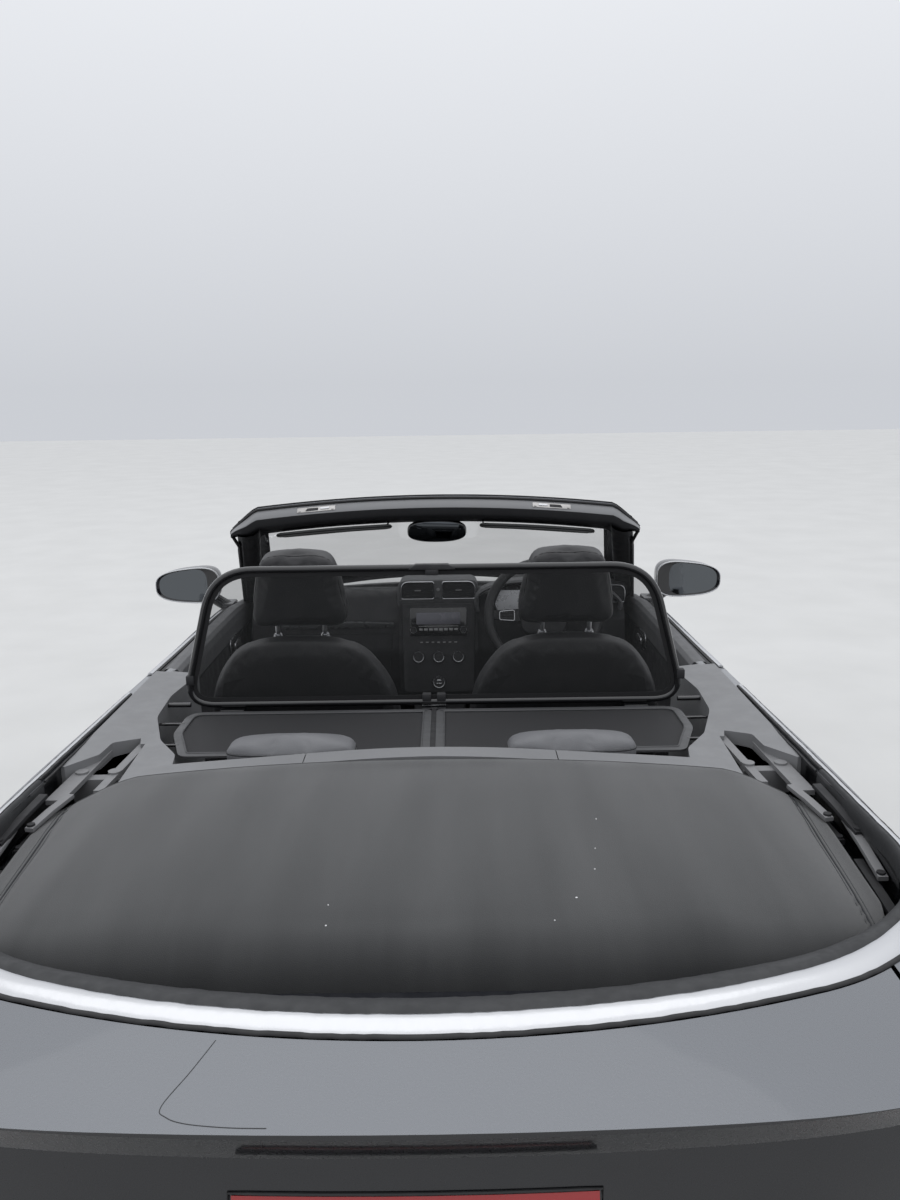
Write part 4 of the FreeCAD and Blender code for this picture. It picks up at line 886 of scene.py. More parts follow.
def layer_point(level, inset):
    def point(u, v):
        x = (0.70 - inset) * (2 * u - 1)
        y = roof_rear(x) - inset - 0.02 + 0.016 * math.sin(math.pi * v)
        z = level + 0.014 * math.cos(math.pi * v) + roof_crown(x) * 0.7
        return x, y, max(z, 0.884)
    return point


layers = [patch(layer_point(0.905, -0.012), 60, 8), patch(layer_point(0.932, -0.018), 60, 8)]
piece("roof_under_layers", roof_lining, layers)

# Wind deflector
RIM_Y = 0.555
HINGE_Z = 0.957
rim_line = trapezium(0.620, HINGE_Z, 0.06, 0.532, 1.297, 0.13, 12)
rim_path = [Vector((p.x, RIM_Y, p.y)) for p in rim_line]
rim = piece("deflector_frame", gloss_black, swept(rim_path, ring(0.0085, 12, 0.85), True, ACROSS),
    "deflector_body")
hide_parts("deflector_screen")
inner_line = drawn_in(rim_line, 0.007)
binding_line = drawn_in(rim_line, 0.018)


def border(outer, inner, y, thick):
    """A flat band between two outlines."""
    count = len(outer)
    verts = [Vector((p.x, y + s * thick / 2, p.y)) for s in (-1, 1) for line in (outer, inner) for p in line]
    faces = []
    for k in range(count):
        k2 = (k + 1) % count
        faces.append((k, k2, count + k2, count + k))
        faces.append((2 * count + k, 3 * count + k, 3 * count + k2, 2 * count + k2))
        faces.append((count + k, count + k2, 3 * count + k2, 3 * count + k))
        faces.append((k, 2 * count + k, 2 * count + k2, k2))
    return verts, faces


piece("deflector_binding", binding_cloth, border(inner_line, binding_line, RIM_Y, 0.0022), "deflector_body")


def net_sheet(name, outline, place, material, body, tilt):
    """A stretched net inside an outline, as a fine fan of faces."""
    centre = sum(outline, Vector((0, 0))) / len(outline)
    verts = [Vector(place(centre.x, centre.y, tilt))]
    faces = []
    rows = 10
    count = len(outline)
    for r in range(1, rows + 1):
        for p in outline:
            spot = centre + (p - centre) * (r / rows)
            verts.append(Vector(place(spot.x, spot.y, tilt * (1 - (r / rows) ** 2))))
    for k in range(count):
        faces.append((0, 1 + k, 1 + (k + 1) % count))
    for r in range(rows - 1):
        for k in range(count):
            k2 = (k + 1) % count
            a = 1 + r * count
            faces.append((a + k, a + k2, a + count + k2, a + count + k))
    return piece(name, material, (verts, faces), body)


net = net_sheet("deflector_net", drawn_in(rim_line, 0.016), lambda a, b, h: (a, RIM_Y + h, b), net_cloth,
    "deflector_body", 0.002)
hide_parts("deflector_screen")
fittings = []
for x in (-0.018, 0.018):
    fittings.append(box_shape((x - 0.011, RIM_Y - 0.0105, HINGE_Z + 0.003),
        (x + 0.011, RIM_Y + 0.0105, HINGE_Z + 0.022), 0.003))
bracket = trapezium(0.062, 1.2925, 0.004, 0.04, 1.3055, 0.006, 3)
fittings.append(slab(bracket, RIM_Y - 0.0105, RIM_Y + 0.0105, standing, 0.002))
fittings.append(box_shape((-0.016, RIM_Y - 0.0112, 1.279), (0.016, RIM_Y + 0.0112, 1.294), 0.003))
for side in (-1, 1):
    fittings.append(box_shape((side * 0.606 - 0.014, RIM_Y - 0.01, 1.01),
        (side * 0.606 + 0.006, RIM_Y + 0.01, 1.034), 0.003))
clip = piece("deflector_clips", black_plastic, fittings, "deflector_body")
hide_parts("deflector_screen")

# The lower net panels over the rear seats
panel_line = rounded_outline([(0.006, 0.579, 0.018), (0.603, 0.579, 0.05), (0.603, 0.73, 0.12),
    (0.553, 0.872, 0.03), (0.006, 0.872, 0.018)], 6)
lower_frames = []
for side in (1, -1):
    outer = [Vector((side * p.x, p.y)) for p in panel_line]
    bead = [Vector((side * p.x, p.y, 0.946)) for p in drawn_in(panel_line, 0.019)]
    lower_frames.append(swept(bead, ring(0.0022, 8), True))
    inner = [Vector((side * p.x, p.y)) for p in drawn_in(panel_line, 0.019)]
    flat, rows = border(outer, inner, 0.9435, 0.005)
    lower_frames.append(([Vector((v.x, v.z, v.y)) for v in flat], rows))
lower_rods = []
for x in (-0.5, 0.0, 0.5):
    lower_rods.append(box_shape((x - 0.03, RIM_Y - 0.012, 0.941), (x + 0.03, RIM_Y + 0.022, 0.9482), 0.002))
for side in (1, -1):
    lower_rods.append(tube([(side * 0.606, RIM_Y, HINGE_Z), (side * 0.664, RIM_Y, HINGE_Z)], 0.006, 16))
    lower_rods.append(tube([(side * 0.596, 0.66, 0.944), (side * 0.667, 0.66, 0.944)], 0.0034, 10))
    lower_rods.append(tube([(side * 0.572, 0.80, 0.944), (side * 0.617, 0.80, 0.944)], 0.0034, 10))
rods = piece("deflector_rods", gloss_black, lower_rods)
lower = piece("deflector_panel_frames", panel_grey, lower_frames)
for each in (rods, lower):
    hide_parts("deflector_lower")
for side, label in SIDES:
    line = [Vector((side * p.x, p.y)) for p in drawn_in(panel_line, 0.018)]
    panel = net_sheet(f"deflector_panel_{label}", line, lambda a, b, h: (a, b, 0.944 + h), panel_net,
        "car_body", -0.002)
    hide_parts("deflector_lower")
centre_gap = box_shape((-0.006, 0.58, 0.9402), (0.006, 0.868, 0.9478), 0.0015)
piece("deflector_centre_hinge", black_plastic, centre_gap)

# Bright strip and the seals beside it


WELL_Y = 1.2


def strip_sections():
    """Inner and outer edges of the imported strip, found round the well from above."""
    tree = skin_of("belt_strip")
    rows = []
    for step in range(261):
        turn = math.radians(-42.0 + 264.0 * step / 260)
        out = Vector((math.cos(turn), math.sin(turn), 0))
        hits = []
        for k in range(420):
            reach = 0.55 + 0.0015 * k
            hit = below(tree, out.x * reach, WELL_Y + out.y * reach)
            if hit is not None:
                hits.append((reach, hit.z))
        if len(hits) > 2:
            rows.append((out, hits[0], hits[-1]))
    return rows


STRIP = strip_sections()


def strip_band(profile, rows=STRIP):
    """A band along the strip; profile(out, inner, outer) gives each row's points, inside to outside."""
    grid = [profile(*row) for row in rows]
    return [p for row in grid for p in row], grid_faces(len(grid), len(grid[0]))


def round_well(out, reach, height):
    return Vector((0, WELL_Y, height)) + out * reach


def strip_inner(out, inner, outer):
    """The bright part's inner edge: it narrows across the rear."""
    wide = (outer[0] - inner[0]) * (1 - ease(0.45, 0.9, out.y)) + 0.029 * ease(0.45, 0.9, out.y)
    return outer[0] - wide


def strip_dome(out, inner, outer):
    low, high = strip_inner(out, inner, outer), outer[0] + 0.0004
    span = high - low
    rise = (outer[1] - inner[1]) / max(outer[0] - inner[0], 0.001)
    dome = [(0, -0.0078), (0.0, -0.0015), (0.06, 0.0), (0.2, 0.0007), (0.45, 0.0010), (0.62, 0.0001),
            (0.8, -0.0022), (0.94, -0.0052), (1.0, -0.0070), (1.0, -0.0095)]
    return [round_well(out, low + span * a, inner[1] + rise * (low + span * a - inner[0]) + b)
        for a, b in dome]


bright = piece("bright_strip", bright_trim, strip_band(strip_dome), sharp=60)
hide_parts("belt_strip")


def well_seal(out, inner, outer):
    """The rubber inside the bright part, with a roll at its edge and a fall into the well."""
    rear = ease(0.35, 0.85, out.y)
    reach = strip_inner(out, inner, outer)
    wide = 0.012 + 0.034 * rear
    height = inner[1] + (outer[1] - inner[1]) * (reach - inner[0]) / max(outer[0] - inner[0], 0.001)
    fall = [(0.0, -0.0035), (0.12, -0.0015), (0.3, -0.0008), (0.46, -0.002), (0.6, -0.0035), (0.85, -0.008),
        (1.0, -0.018), (1.0, -0.034)]
    return [round_well(out, reach - wide * a, height + b) for a, b in fall]


def outer_gasket(out, inner, outer):
    reach, height = outer[0], outer[1]
    return [round_well(out, reach + a, height + b) for a, b in (
        (-0.0005, -0.0085), (-0.0005, -0.0055), (0.003, -0.0052), (0.0052, -0.0065), (0.0056, -0.0085))]


back_rows = [row for row in STRIP if row[0].y > -0.16]
piece("well_seal", seal_painted_sheen, strip_band(well_seal, back_rows), sharp=60)
piece("strip_gasket", seal_rubber, strip_band(outer_gasket), sharp=60)


# Doors: strips, seals, cards


def door_top(side, x, lift):
    """A line along the top of a door at one distance from the middle."""
    skin = skin_of("door_left" if side > 0 else "door_right")
    line = []
    for i in range(41):
        y = -0.70 + (0.334 + 0.70) * i / 40
        hit = below(skin, side * x(y), y)
        if hit is not None:
            line.append(hit + Vector((0, 0, lift)))
    return line


CARD = [
    (0.742, 0.963), (0.726, 0.966), (0.710, 0.963), (0.700, 0.953), (0.696, 0.93), (0.698, 0.885),
    (0.702, 0.875),
    (0.700, 0.86), (0.697, 0.78), (0.690, 0.735), (0.655, 0.715), (0.642, 0.700), (0.642, 0.682),
    (0.660, 0.664),
    (0.692, 0.64), (0.697, 0.56), (0.690, 0.49), (0.664, 0.472), (0.656, 0.44), (0.660, 0.35), (0.690, 0.312),
    (0.709, 0.31),
]


def card_point(side, low, high):
    def point(u, v):
        y = -0.705 + 1.005 * u
        spot = low + (high - low) * v
        i = min(int(spot), len(CARD) - 2)
        t = spot - i
        x = CARD[i][0] * (1 - t) + CARD[i + 1][0] * t
        z = CARD[i][1] * (1 - t) + CARD[i + 1][1] * t
        z_before = z
        bulge = ease(-0.47, -0.30, y) * (1 - 0.5 * ease(0.1, 0.3, y))
        if x < 0.69:
            x = 0.69 + (x - 0.69) * bulge
        z += 0.012 * math.sin((y + 0.7) * 1.9) * ease(0.6, 0.9, z)
        z -= 0.018 * ease(-0.45, -0.72, y) * ease(0.9, 0.96, z_before)
        return side * x, y, z
    return point


for side, label in SIDES:
    body = f"door_{label}_body"
    for name, material, line, section in (
        ("belt", bright_trim, door_top(side, lambda y: 0.7815 + 0.004 * ease(-0.4, -0.7, y), 0.0025),
         [(-0.0068, -0.004), (-0.0068, 0.0022), (-0.004, 0.0044), (0.002, 0.0048), (0.0062, 0.0025),
         (0.0068, -0.004)]),
        ("belt_seal", seal_rubber, door_top(side, lambda y: 0.7695, 0.0015),
         [(-0.0042, -0.003), (-0.0042, 0.003), (0.0, 0.0048), (0.0042, 0.003), (0.0042, -0.003)]),
        ("glass_seal", seal_rubber, door_top(side, lambda y: 0.7555, 0.0012),
         [(-0.005, -0.003), (-0.005, 0.002), (0.0, 0.0036), (0.005, 0.002), (0.005, -0.003)]),
    ):
        piece(f"door_{name}_{label}", material, swept(line, section), body, sharp=50)
    top_roll = patch(card_point(side, 0, 5), 60, 30)
    lower = patch(card_point(side, 5, len(CARD) - 1), 60, 96)
    piece(f"door_top_pad_{label}", trim_pad, top_roll, body, sharp=60)
    piece(f"door_card_{label}", black_plastic, lower, body, sharp=60)
    ring_outline = rounded_outline([(-0.40, 0.842, 0.028), (-0.285, 0.842, 0.028), (-0.285, 0.896, 0.022),
        (-0.40, 0.896, 0.022)], 5)
    bezel = swept([Vector((side * 0.6965, p.x, p.y)) for p in ring_outline], ring(0.0028, 8), True, (1, 0, 0))
    lever = slab(rounded_outline([(-0.387, 0.860, 0.008), (-0.305, 0.856, 0.008), (-0.305, 0.880, 0.008),
        (-0.387, 0.884, 0.008)], 3),
                 0.682, 0.690, lambda a, b, h: (side * h, a, b), 0.002)
    piece(f"door_pull_{label}", satin_metal, [bezel, lever], body)
    cup = slab(drawn_in(ring_outline, 0.001), 0.694, 0.6975, lambda a, b, h: (side * h, a, b), 0.0008)
    piece(f"door_pull_cup_{label}", black_plastic, cup, body)
    speaker = [lathe([(0.0, 0.0), (0.074, 0.0), (0.078, 0.0015), (0.078, 0.004), (0.0, 0.006)],
                     (side * 0.6875, -0.50, 0.42), (-side, 0, 0), 40)]
    for k in range(6):
        reach = 0.012 + 0.011 * k
        loop = [Vector((side * 0.682, -0.50 + reach * math.cos(2 * math.pi * i / 30),
                        0.42 + reach * math.sin(2 * math.pi * i / 30))) for i in range(30)]
        speaker.append(swept(loop, ring(0.0016, 6), True, (1, 0, 0)))
    piece(f"door_speaker_{label}", black_plastic, speaker, body)

# Door mirrors


MIRROR_X = 0.900
MIRROR_Z = 1.030


def mirror_shell(u, v):
    """The outside of a mirror's housing: an oval bowl that closes at its nose."""
    depth = math.sin(math.pi / 2 * v)
    c, s = squared(2 * math.pi * u, 3)
    shrink = math.cos(math.pi / 2 * v) ** 0.55
    x = MIRROR_X + 0.112 * c * shrink - 0.012 * depth
    z = MIRROR_Z + (0.062 - 0.010 * c) * s * shrink + 0.008 * depth
    y = -0.564 - 0.105 * depth + 0.014 * (x - MIRROR_X) / 0.11
    return x, y, z


def mirror_rim(scale, y, inner=1.0):
    """The outline of a mirror housing's mouth, smaller and drawn outwards for the glass."""
    line = []
    for turn in round_the(56):
        c, s = squared(turn, 3)
        x = MIRROR_X + 0.112 * c * scale * (inner if c < 0 else 1)
        z = MIRROR_Z + (0.062 - 0.010 * c) * s * scale
        line.append(Vector((x, y + 0.014 * (x - MIRROR_X) / 0.11, z)))
    return line


for side, label in SIDES:
    body = f"door_{label}_body"
    turn_side = (lambda f: f) if side > 0 else flipped
    shell = patch(mirror_shell, 56, 16, True)
    lip_out = mirror_rim(1.0, -0.564)
    lip_in = mirror_rim(0.9, -0.568, 0.66)
    count = len(lip_out)
    rim_faces = [(k, (k + 1) % count, count + (k + 1) % count, count + k) for k in range(count)]
    housing = piece(f"mirror_shell_{label}", mirror_black,
        [turn_side(shell), turn_side((lip_out + lip_in, rim_faces))], body, sharp=50)
    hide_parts(f"mirror_{label}")
    face = mirror_rim(0.9, -0.5690, 0.66)
    centre = sum(face, Vector()) / count
    rows = [centre] + [centre + (p - centre) * 0.5 for p in face] + face
    rows = [Vector((p.x, p.y - 0.0015 * (1 - ((p - centre).length / 0.11) ** 2), p.z)) for p in rows]
    faces = [(0, 1 + k, 1 + (k + 1) % count) for k in range(count)]
    faces += [(1 + k, 1 + (k + 1) % count, 1 + count + (k + 1) % count, 1 + count + k) for k in range(count)]
    glass_face = piece(f"mirror_glass_{label}", mirror_painted_dark, turn_side((rows, faces)), body)
    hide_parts(f"mirror_{label}")
    piece(f"mirror_edge_{label}", satin_metal,
        turn_side(swept(mirror_rim(0.985, -0.5625), ring(0.0022, 8), True, ACROSS)), body)
    arm_path = smooth_path([(0.768, -0.628, 0.936), (0.800, -0.626, 0.955), (0.828, -0.620, 0.978),
        (0.846, -0.612, 1.0)], 6)
    arm = swept(arm_path, ring(0.022, 16, 0.016 / 0.022), False, ACROSS)
    foot = box_shape((0.748, -0.672, 0.926), (0.788, -0.585, 0.957), 0.006)
    base = piece(f"mirror_arm_{label}", mirror_black, [turn_side(arm), turn_side(foot)], body)
    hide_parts(f"mirror_{label}")

# Windscreen frame: header, pillars, glass, visors and mirror
SCREEN_OUT = Vector((0, -0.486, 0.874))


def header_top(x):
    """The top rear edge of the header, nearly level and falling at its corners."""
    side = abs(x)
    corner = max(side - 0.545, 0)
    return Vector((x, -0.150 + 0.05 * (x / 0.6) ** 2,
        1.3895 - 0.0275 * (x / 0.56) ** 2 - 0.84 * corner ** 2 / (0.018 + corner)))


def header_depth(x):
    """The header grows thinner where it turns down into the pillars."""
    return 1 - 0.6 * ease(0.565, 0.624, abs(x))


HEADER_X = [-0.624, -0.619, -0.611, -0.60, -0.588, -0.575, -0.56,
    -0.545] + [-0.525 + 0.025 * i for i in range(43)] + [
    0.545, 0.56, 0.575, 0.588, 0.60, 0.611, 0.619, 0.624]


def header_band(profile):
    """A sheet along the header through (rearwards, upwards) points from its top edge."""
    rows = [[header_top(x) + Vector((0, a, b * header_depth(x))) for a, b in profile] for x in HEADER_X]
    return [p for row in rows for p in row], grid_faces(len(rows), len(profile))


def header_line(back, up):
    return [header_top(x) + Vector((0, back, up)) for x in HEADER_X]


HEADER_SKIN = [(-0.150, -0.078), (-0.146, -0.064), (-0.10, -0.034), (-0.05, -0.010), (-0.014, 0.0005),
    (-0.002, -0.001), (0.0, -0.005)]
HEADER_BAND = [(0.0, -0.005), (0.004, -0.011), (0.007, -0.0125), (0.0215, -0.030), (0.0225, -0.034)]
HEADER_LOW = [(0.0225, -0.034), (0.0215, -0.037), (0.021, -0.054), (0.014, -0.063), (-0.05, -0.082),
    (-0.125, -0.098), (-0.15, -0.078)]


def header_end(x):
    points = [header_top(x) + Vector((0, a, b * header_depth(x)))
        for a, b in HEADER_SKIN + HEADER_BAND[1:] + HEADER_LOW[1:-1]]
    return points, [tuple(range(len(points)))]


header = piece("windscreen_header", paint, header_band(HEADER_SKIN), sharp=50)
header_inner = piece("windscreen_header_band", header_grey, header_band(HEADER_BAND), sharp=30)
header_under = piece("windscreen_header_lining", black_plastic,
    [header_band(HEADER_LOW), header_end(-0.624), header_end(0.624)], sharp=40)
gasket = [tube(header_line(0.0025, -0.0055), 0.0042, 8), tube(header_line(-0.0125, 0.0015), 0.0016, 6)]


def pillar_point(share, inset, depth):
    """A place on the leaning, bowed surface of the windscreen, near its left edge."""
    half = 0.748 - 0.142 * share
    bow = 0.107 - 0.031 * share
    reach = half - inset
    lift = bow * (1 - (reach / half) ** 2) - depth
    return Vector((reach, -0.8 + 0.705 * share, 0.94 + 0.392 * share)) + SCREEN_OUT * lift


def pillar_strip(section):
    def point(u, v):
        share = -0.11 + 1.095 * v
        spot = min(u * (len(section) - 1), len(section) - 1.0001)
        i = int(spot)
        t = spot - i
        inset = section[i][0] * (1 - t) + section[i + 1][0] * t
        return pillar_point(share, inset, section[i][1] * (1 - t) + section[i + 1][1] * t)
    return patch(point, len(section) - 1, 30)


PILLAR_OUTER = [(0.018, 0.058), (0.004, 0.053), (-0.001, 0.040), (-0.001, 0.014), (0.004, 0.003),
    (0.014, -0.001), (0.05, -0.001), (0.060, 0.001), (0.062, 0.010)]
PILLAR_INNER = [(0.062, 0.010), (0.066, 0.013), (0.070, 0.024), (0.071, 0.042), (0.066, 0.056),
    (0.052, 0.062), (0.03, 0.062), (0.018, 0.058)]
outer = pillar_strip(PILLAR_OUTER)
inner = pillar_strip(PILLAR_INNER)
pillars = piece("windscreen_pillars", paint, pair(outer), sharp=50)
pillar_trim = piece("windscreen_pillar_trims", black_plastic, pair(inner), sharp=50)
for made in (header, header_inner, header_under, pillars, pillar_trim):
    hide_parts("windscreen_frame")
side_seal = [pillar_point(-0.1 + 1.0 * i / 24, 0.006, 0.060) for i in range(25)]
side_seal += [header_top(0.6225) + Vector((0, 0.003, -0.022)),
    header_top(0.6235) + Vector((0, 0.003, -0.006))]
piece("windscreen_gasket", seal_rubber, gasket + pair(tube(smooth_path(side_seal, 2), 0.0052, 8)))


def glass_point(u, v):
    """The windscreen, from its foot to the header's lower front edge."""
    side = 2 * u - 1
    low = pillar_point(-0.13, 0.765 - abs(side) * 0.70, 0.006)
    low.x = side * 0.705
    top = header_top(side * 0.578) + Vector((0, -0.118, -0.079))
    place = low.lerp(top, v)
    return place + SCREEN_OUT * (0.012 * math.sin(math.pi * v))


screen_pane = piece("windscreen_pane", glass, patch(glass_point, 48, 24))
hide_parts("windscreen")


def frit_band(low_u, high_u, low_v, high_v):
    def point(u, v):
        spot = glass_point(low_u + (high_u - low_u) * u, low_v + (high_v - low_v) * v)
        return spot - SCREEN_OUT * 0.0015
    return patch(point, 30, 6)


frit = piece("windscreen_edge_print", gloss_black, [
    frit_band(0.0, 1.0, 0.965, 1.0), frit_band(0.0, 1.0, 0.0, 0.16), frit_band(0.0, 0.035, 0.1, 1.0),
    frit_band(0.965, 1.0, 0.1, 1.0),
    frit_band(0.435, 0.565, 0.86, 0.97)])
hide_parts("windscreen")

# Latch plates in the header
for side, label in SIDES:
    middle = 0.365 if side > 0 else -0.359

    def on_band(a, b, h):
        """A place on the header's sloping band: along it, up its slope and out of it."""
        base = header_top(middle + a) + Vector((0, 0.0143, -0.0213))
        slope = Vector((0, -0.64, 0.768))
        return base + slope * b + Vector((0, 0.768, 0.64)) * h
    plate = slab(rectangle(-0.058, -0.0085, 0.058, 0.0085, 0.003, 3), 0.0, 0.0022, on_band, 0.0008)
    piece(f"latch_plate_{label}", bright_steel, plate)
    inward = -1 if side > 0 else 1
    hole = slab(rounded_outline([(-0.020, -0.0055, 0.002), (0.020, -0.0055, 0.002), (0.013, 0.0045, 0.002),
        (-0.020, 0.0045, 0.002)], 2), 0.0015, 0.0029,
                lambda a, b, h: on_band(-inward * (0.014 + a), b, h), 0.0004)
    lug = slab(rectangle(-0.014, -0.003, 0.014, 0.004, 0.0025, 3), 0.0015, 0.0045,
               lambda a, b, h: on_band(inward * 0.026 + a, b, h), 0.001)
    rims = [slab(rectangle(s - 0.004, -0.007, s + 0.004, -0.0045, 0.001, 2), 0.0015, 0.0027, on_band, 0.0004)
            for s in (-0.05, 0.05)]
    piece(f"latch_hole_{label}", seal_rubber, [hole] + rims)
    piece(f"latch_lug_{label}", satin_metal, lug)

# Visors, folded flat, and the inside mirror


def visor_form(u, v):
    """A thin padded board with round edges, seen almost edge on."""
    c, s = squared(2 * math.pi * u, 6)
    inset = 1 - 0.07 * abs(2 * v - 1) ** 6
    a = 0.32 + 0.178 * c * inset
    b = 0.058 * s * inset
    height = 0.0075 * (2 * v - 1)
    base = header_top(a)
    return a, base.y - 0.068 + b, base.z - 0.101 + 0.16 * b - 0.03 * b * b / 0.058 + height


def visor():
    verts, faces = patch(visor_form, 48, 8, True)
    count = 48
    faces.append(tuple(range(count)))
    faces.append(tuple(range(len(verts) - count, len(verts))))
    return verts, faces


visors = piece("sun_visors", visor_grey, pair(visor()), sharp=70)
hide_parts("header_fittings")
visor_edge = [Vector(visor_form(i / 48, 0.5)) for i in range(48)]
piece("sun_visor_edges", thread, pair(tube(visor_edge, 0.0022, 6, True)))
visor_pins = [tube([header_top(0.15) + Vector((0, -0.035, -0.08)),
    header_top(0.15) + Vector((0, -0.028, -0.098)), header_top(0.19) + Vector((0, -0.03, -0.1))], 0.0035, 8)]
mirror_outline = []
for turn in round_the(48):
    c, s = squared(turn, 3.2)
    mirror_outline.append(Vector((-0.003 + 0.0955 * c, 1.265 + (0.037 - 0.006 * math.cos(turn) ** 2) * s)))


def tilt(a, b, h):
    return a, h + 0.12 * (b - 1.265), b


mirror_case = slab(mirror_outline, -0.268, -0.2375, tilt, 0.009)
stalk = tube(smooth_path([(0, -0.262, 1.272), (0, -0.275, 1.30), (0, -0.285, 1.318)], 5), 0.009, 12)
foot = slab(trapezium(0.045, 1.292, 0.012, 0.05, 1.322, 0.01, 4), -0.30, -0.262, standing, 0.006)
case = piece("inside_mirror_case", mirror_black, [mirror_case, stalk, foot] + pair(*visor_pins))
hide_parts("header_fittings")
mirror_face = slab(drawn_in(mirror_outline, 0.006), -0.2378, -0.2368, tilt, 0.0004)
face = piece("inside_mirror_glass", mirror_painted_dark, mirror_face)
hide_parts("header_fittings")

# Dashboard and steering wheel
dash_pod = trapezium(0.148, 0.93, 0.01, 0.142, 1.047, 0.03, 5)
piece("dash_centre_pod", trim_pad,
    slab(dash_pod, -0.72, -0.528, lambda a, b, h: (a, h, b - 0.10 * (-0.528 - h)), 0.008))
face_tilt = math.radians(17)


def on_face(y, z):
    """Puts a flat outline on the leaning centre face: across, up its slope, and out towards the rear."""
    def put(a, b, h):
        rise = b - z
        c, s = math.cos(face_tilt), math.sin(face_tilt)
        return a, y + h * c - rise * s, z + rise * c + h * s
    return put


def vent(middle, height, y, side):
    """A vent with one widely rounded corner: ring outline, slats and a tab."""
    half = 0.058
    corners = [(-half, -0.031, 0.008), (half, -0.031, 0.008), (half, 0.031, 0.027 if side > 0 else 0.009),
        (-half, 0.031, 0.009 if side > 0 else 0.027)]
    outline = [Vector((middle + p.x, height + p.y)) for p in rounded_outline(corners, 6)]
    loop = [Vector((p.x, y + 0.0025, p.y)) for p in outline]
    rim = swept(loop, ring(0.0023, 8), True, ACROSS)
    slats = []
    for k in range(4):
        level = height - 0.019 + 0.0125 * k
        slats.append(box_shape((middle - half + 0.005, y - 0.006, level - 0.0018),
            (middle + half - 0.005, y + 0.001, level + 0.0018), 0.0008))
    back = slab(drawn_in(outline, 0.001), y - 0.004, y + 0.0004, standing, 0.0)
    tab = box_shape((middle - 0.011, y + 0.0, height - 0.002), (middle + 0.011, y + 0.003, height + 0.002),
        0.0008)
    return rim, slats + [back], tab


rims, slat_forms, tabs = [], [], []
for middle, height, y, side in ((0.073, 1.009, -0.527, 1), (-0.073, 1.009, -0.527, -1),
        (0.596, 0.99, -0.556, 1), (-0.607, 0.99, -0.524, -1)):
    rim_form, slats, tab = vent(middle, height, y, side)
    rims.append(rim_form)
    slat_forms += slats
    tabs.append(tab)
slat_forms.append(box_shape((0.53, -0.64, 0.945), (0.662, -0.557, 1.03), 0.01))
slat_forms.append(box_shape((-0.669, -0.6, 0.945), (-0.544, -0.525, 1.03), 0.01))
tabs.append(lathe([(0.0, 0.0), (0.006, 0.0), (0.006, 0.002), (0.0, 0.003)], (0.0, -0.527, 1.012), (0, 1, 0),
    16))
piece("vent_rings", bright_trim, rims)
piece("vent_slats", black_plastic, slat_forms)
piece("vent_tabs", mark_grey, tabs)
stack = on_face(-0.470, 0.90)
radio_face = rectangle(-0.101, 0.858, 0.101, 0.958, 0.006, 3)
stack_panel = trapezium(0.122, 0.66, 0.02, 0.130, 0.972, 0.012, 4)
piece("centre_stack_face", black_plastic, slab(stack_panel, -0.012, 0.0, stack, 0.003))
piece("radio_face", gloss_black, slab(radio_face, -0.002, 0.005, stack, 0.0015))
display = rectangle(-0.078, 0.898, 0.078, 0.94, 0.002, 2)
piece("radio_display", display_grey, slab(display, 0.003, 0.0056, stack, 0.0005))
small = []
for k in range(8):
    a = -0.062 + 0.0177 * k
    small.append(slab(rectangle(a - 0.0065, 0.876, a + 0.0065, 0.884, 0.001, 2), 0.004, 0.0068, stack,
        0.0008))
small.append(slab(rectangle(-0.07, 0.8905, 0.07, 0.8925, 0.0005, 1), 0.004, 0.0064, stack, 0.0003))
for k in range(7):
    a = -0.06 + 0.02 * k
    small.append(slab(rectangle(a - 0.005, 0.833, a + 0.005, 0.837, 0.001, 2), -0.001, 0.002, stack, 0.0005))
piece("radio_buttons", mark_grey, small)
out_of_face = (0, math.cos(face_tilt), math.sin(face_tilt))
knob_rings, knob_cores = [], []
for a, b, radius in ((-0.088, 0.878, 0.0115), (0.088, 0.878, 0.0115), (-0.069, 0.783, 0.019),
        (0.0, 0.783, 0.019), (0.071, 0.783, 0.019), (0.0, 0.695, 0.021)):
    spot = Vector(stack(a, b, 0.0))
    knob_cores.append(lathe([(0.0, 0.0), (radius, 0.0), (radius, 0.010), (radius * 0.86, 0.016),
        (0.0, 0.016)], spot, out_of_face, 28))
    knob_rings.append(lathe([(radius * 0.9, 0.012), (radius * 1.06, 0.009), (radius * 1.04, 0.012),
        (radius * 0.94, 0.0158), (radius * 0.86, 0.0152)], spot, out_of_face, 28))
knob_rings.append(slab(trapezium(0.009, 0.698, 0.002, 0.006, 0.7035, 0.002, 2), 0.0155, 0.0175, stack,
    0.0005))
knob_rings.append(slab(trapezium(0.009, 0.688, 0.002, 0.009, 0.692, 0.001, 2), 0.0155, 0.0175, stack, 0.0005))
piece("knob_cores", black_plastic, knob_cores)
piece("knob_rings", satin_metal, knob_rings)
strip_line = rounded_outline([(0.158, 0.884, 0.004), (0.56, 0.878, 0.004), (0.56, 0.896, 0.004),
    (0.30, 0.905, 0.02), (0.158, 0.899, 0.004)], 4)
piece("dash_strip", satin_dark, slab(strip_line, -0.505, -0.4915, standing, 0.002))
lid_line = rounded_outline([(0.175, 0.70, 0.03), (0.54, 0.70, 0.03), (0.55, 0.862, 0.012),
    (0.165, 0.862, 0.012)], 4)
dash_skin = skin_of("dashboard")
glove = laid(dash_skin, smooth_path([(p.x, -0.3, p.y) for p in lid_line], 3, True), (0, -1, 0), 0.0003)
piece("glove_box_line", thread, tube(glove, 0.0016, 6, True))
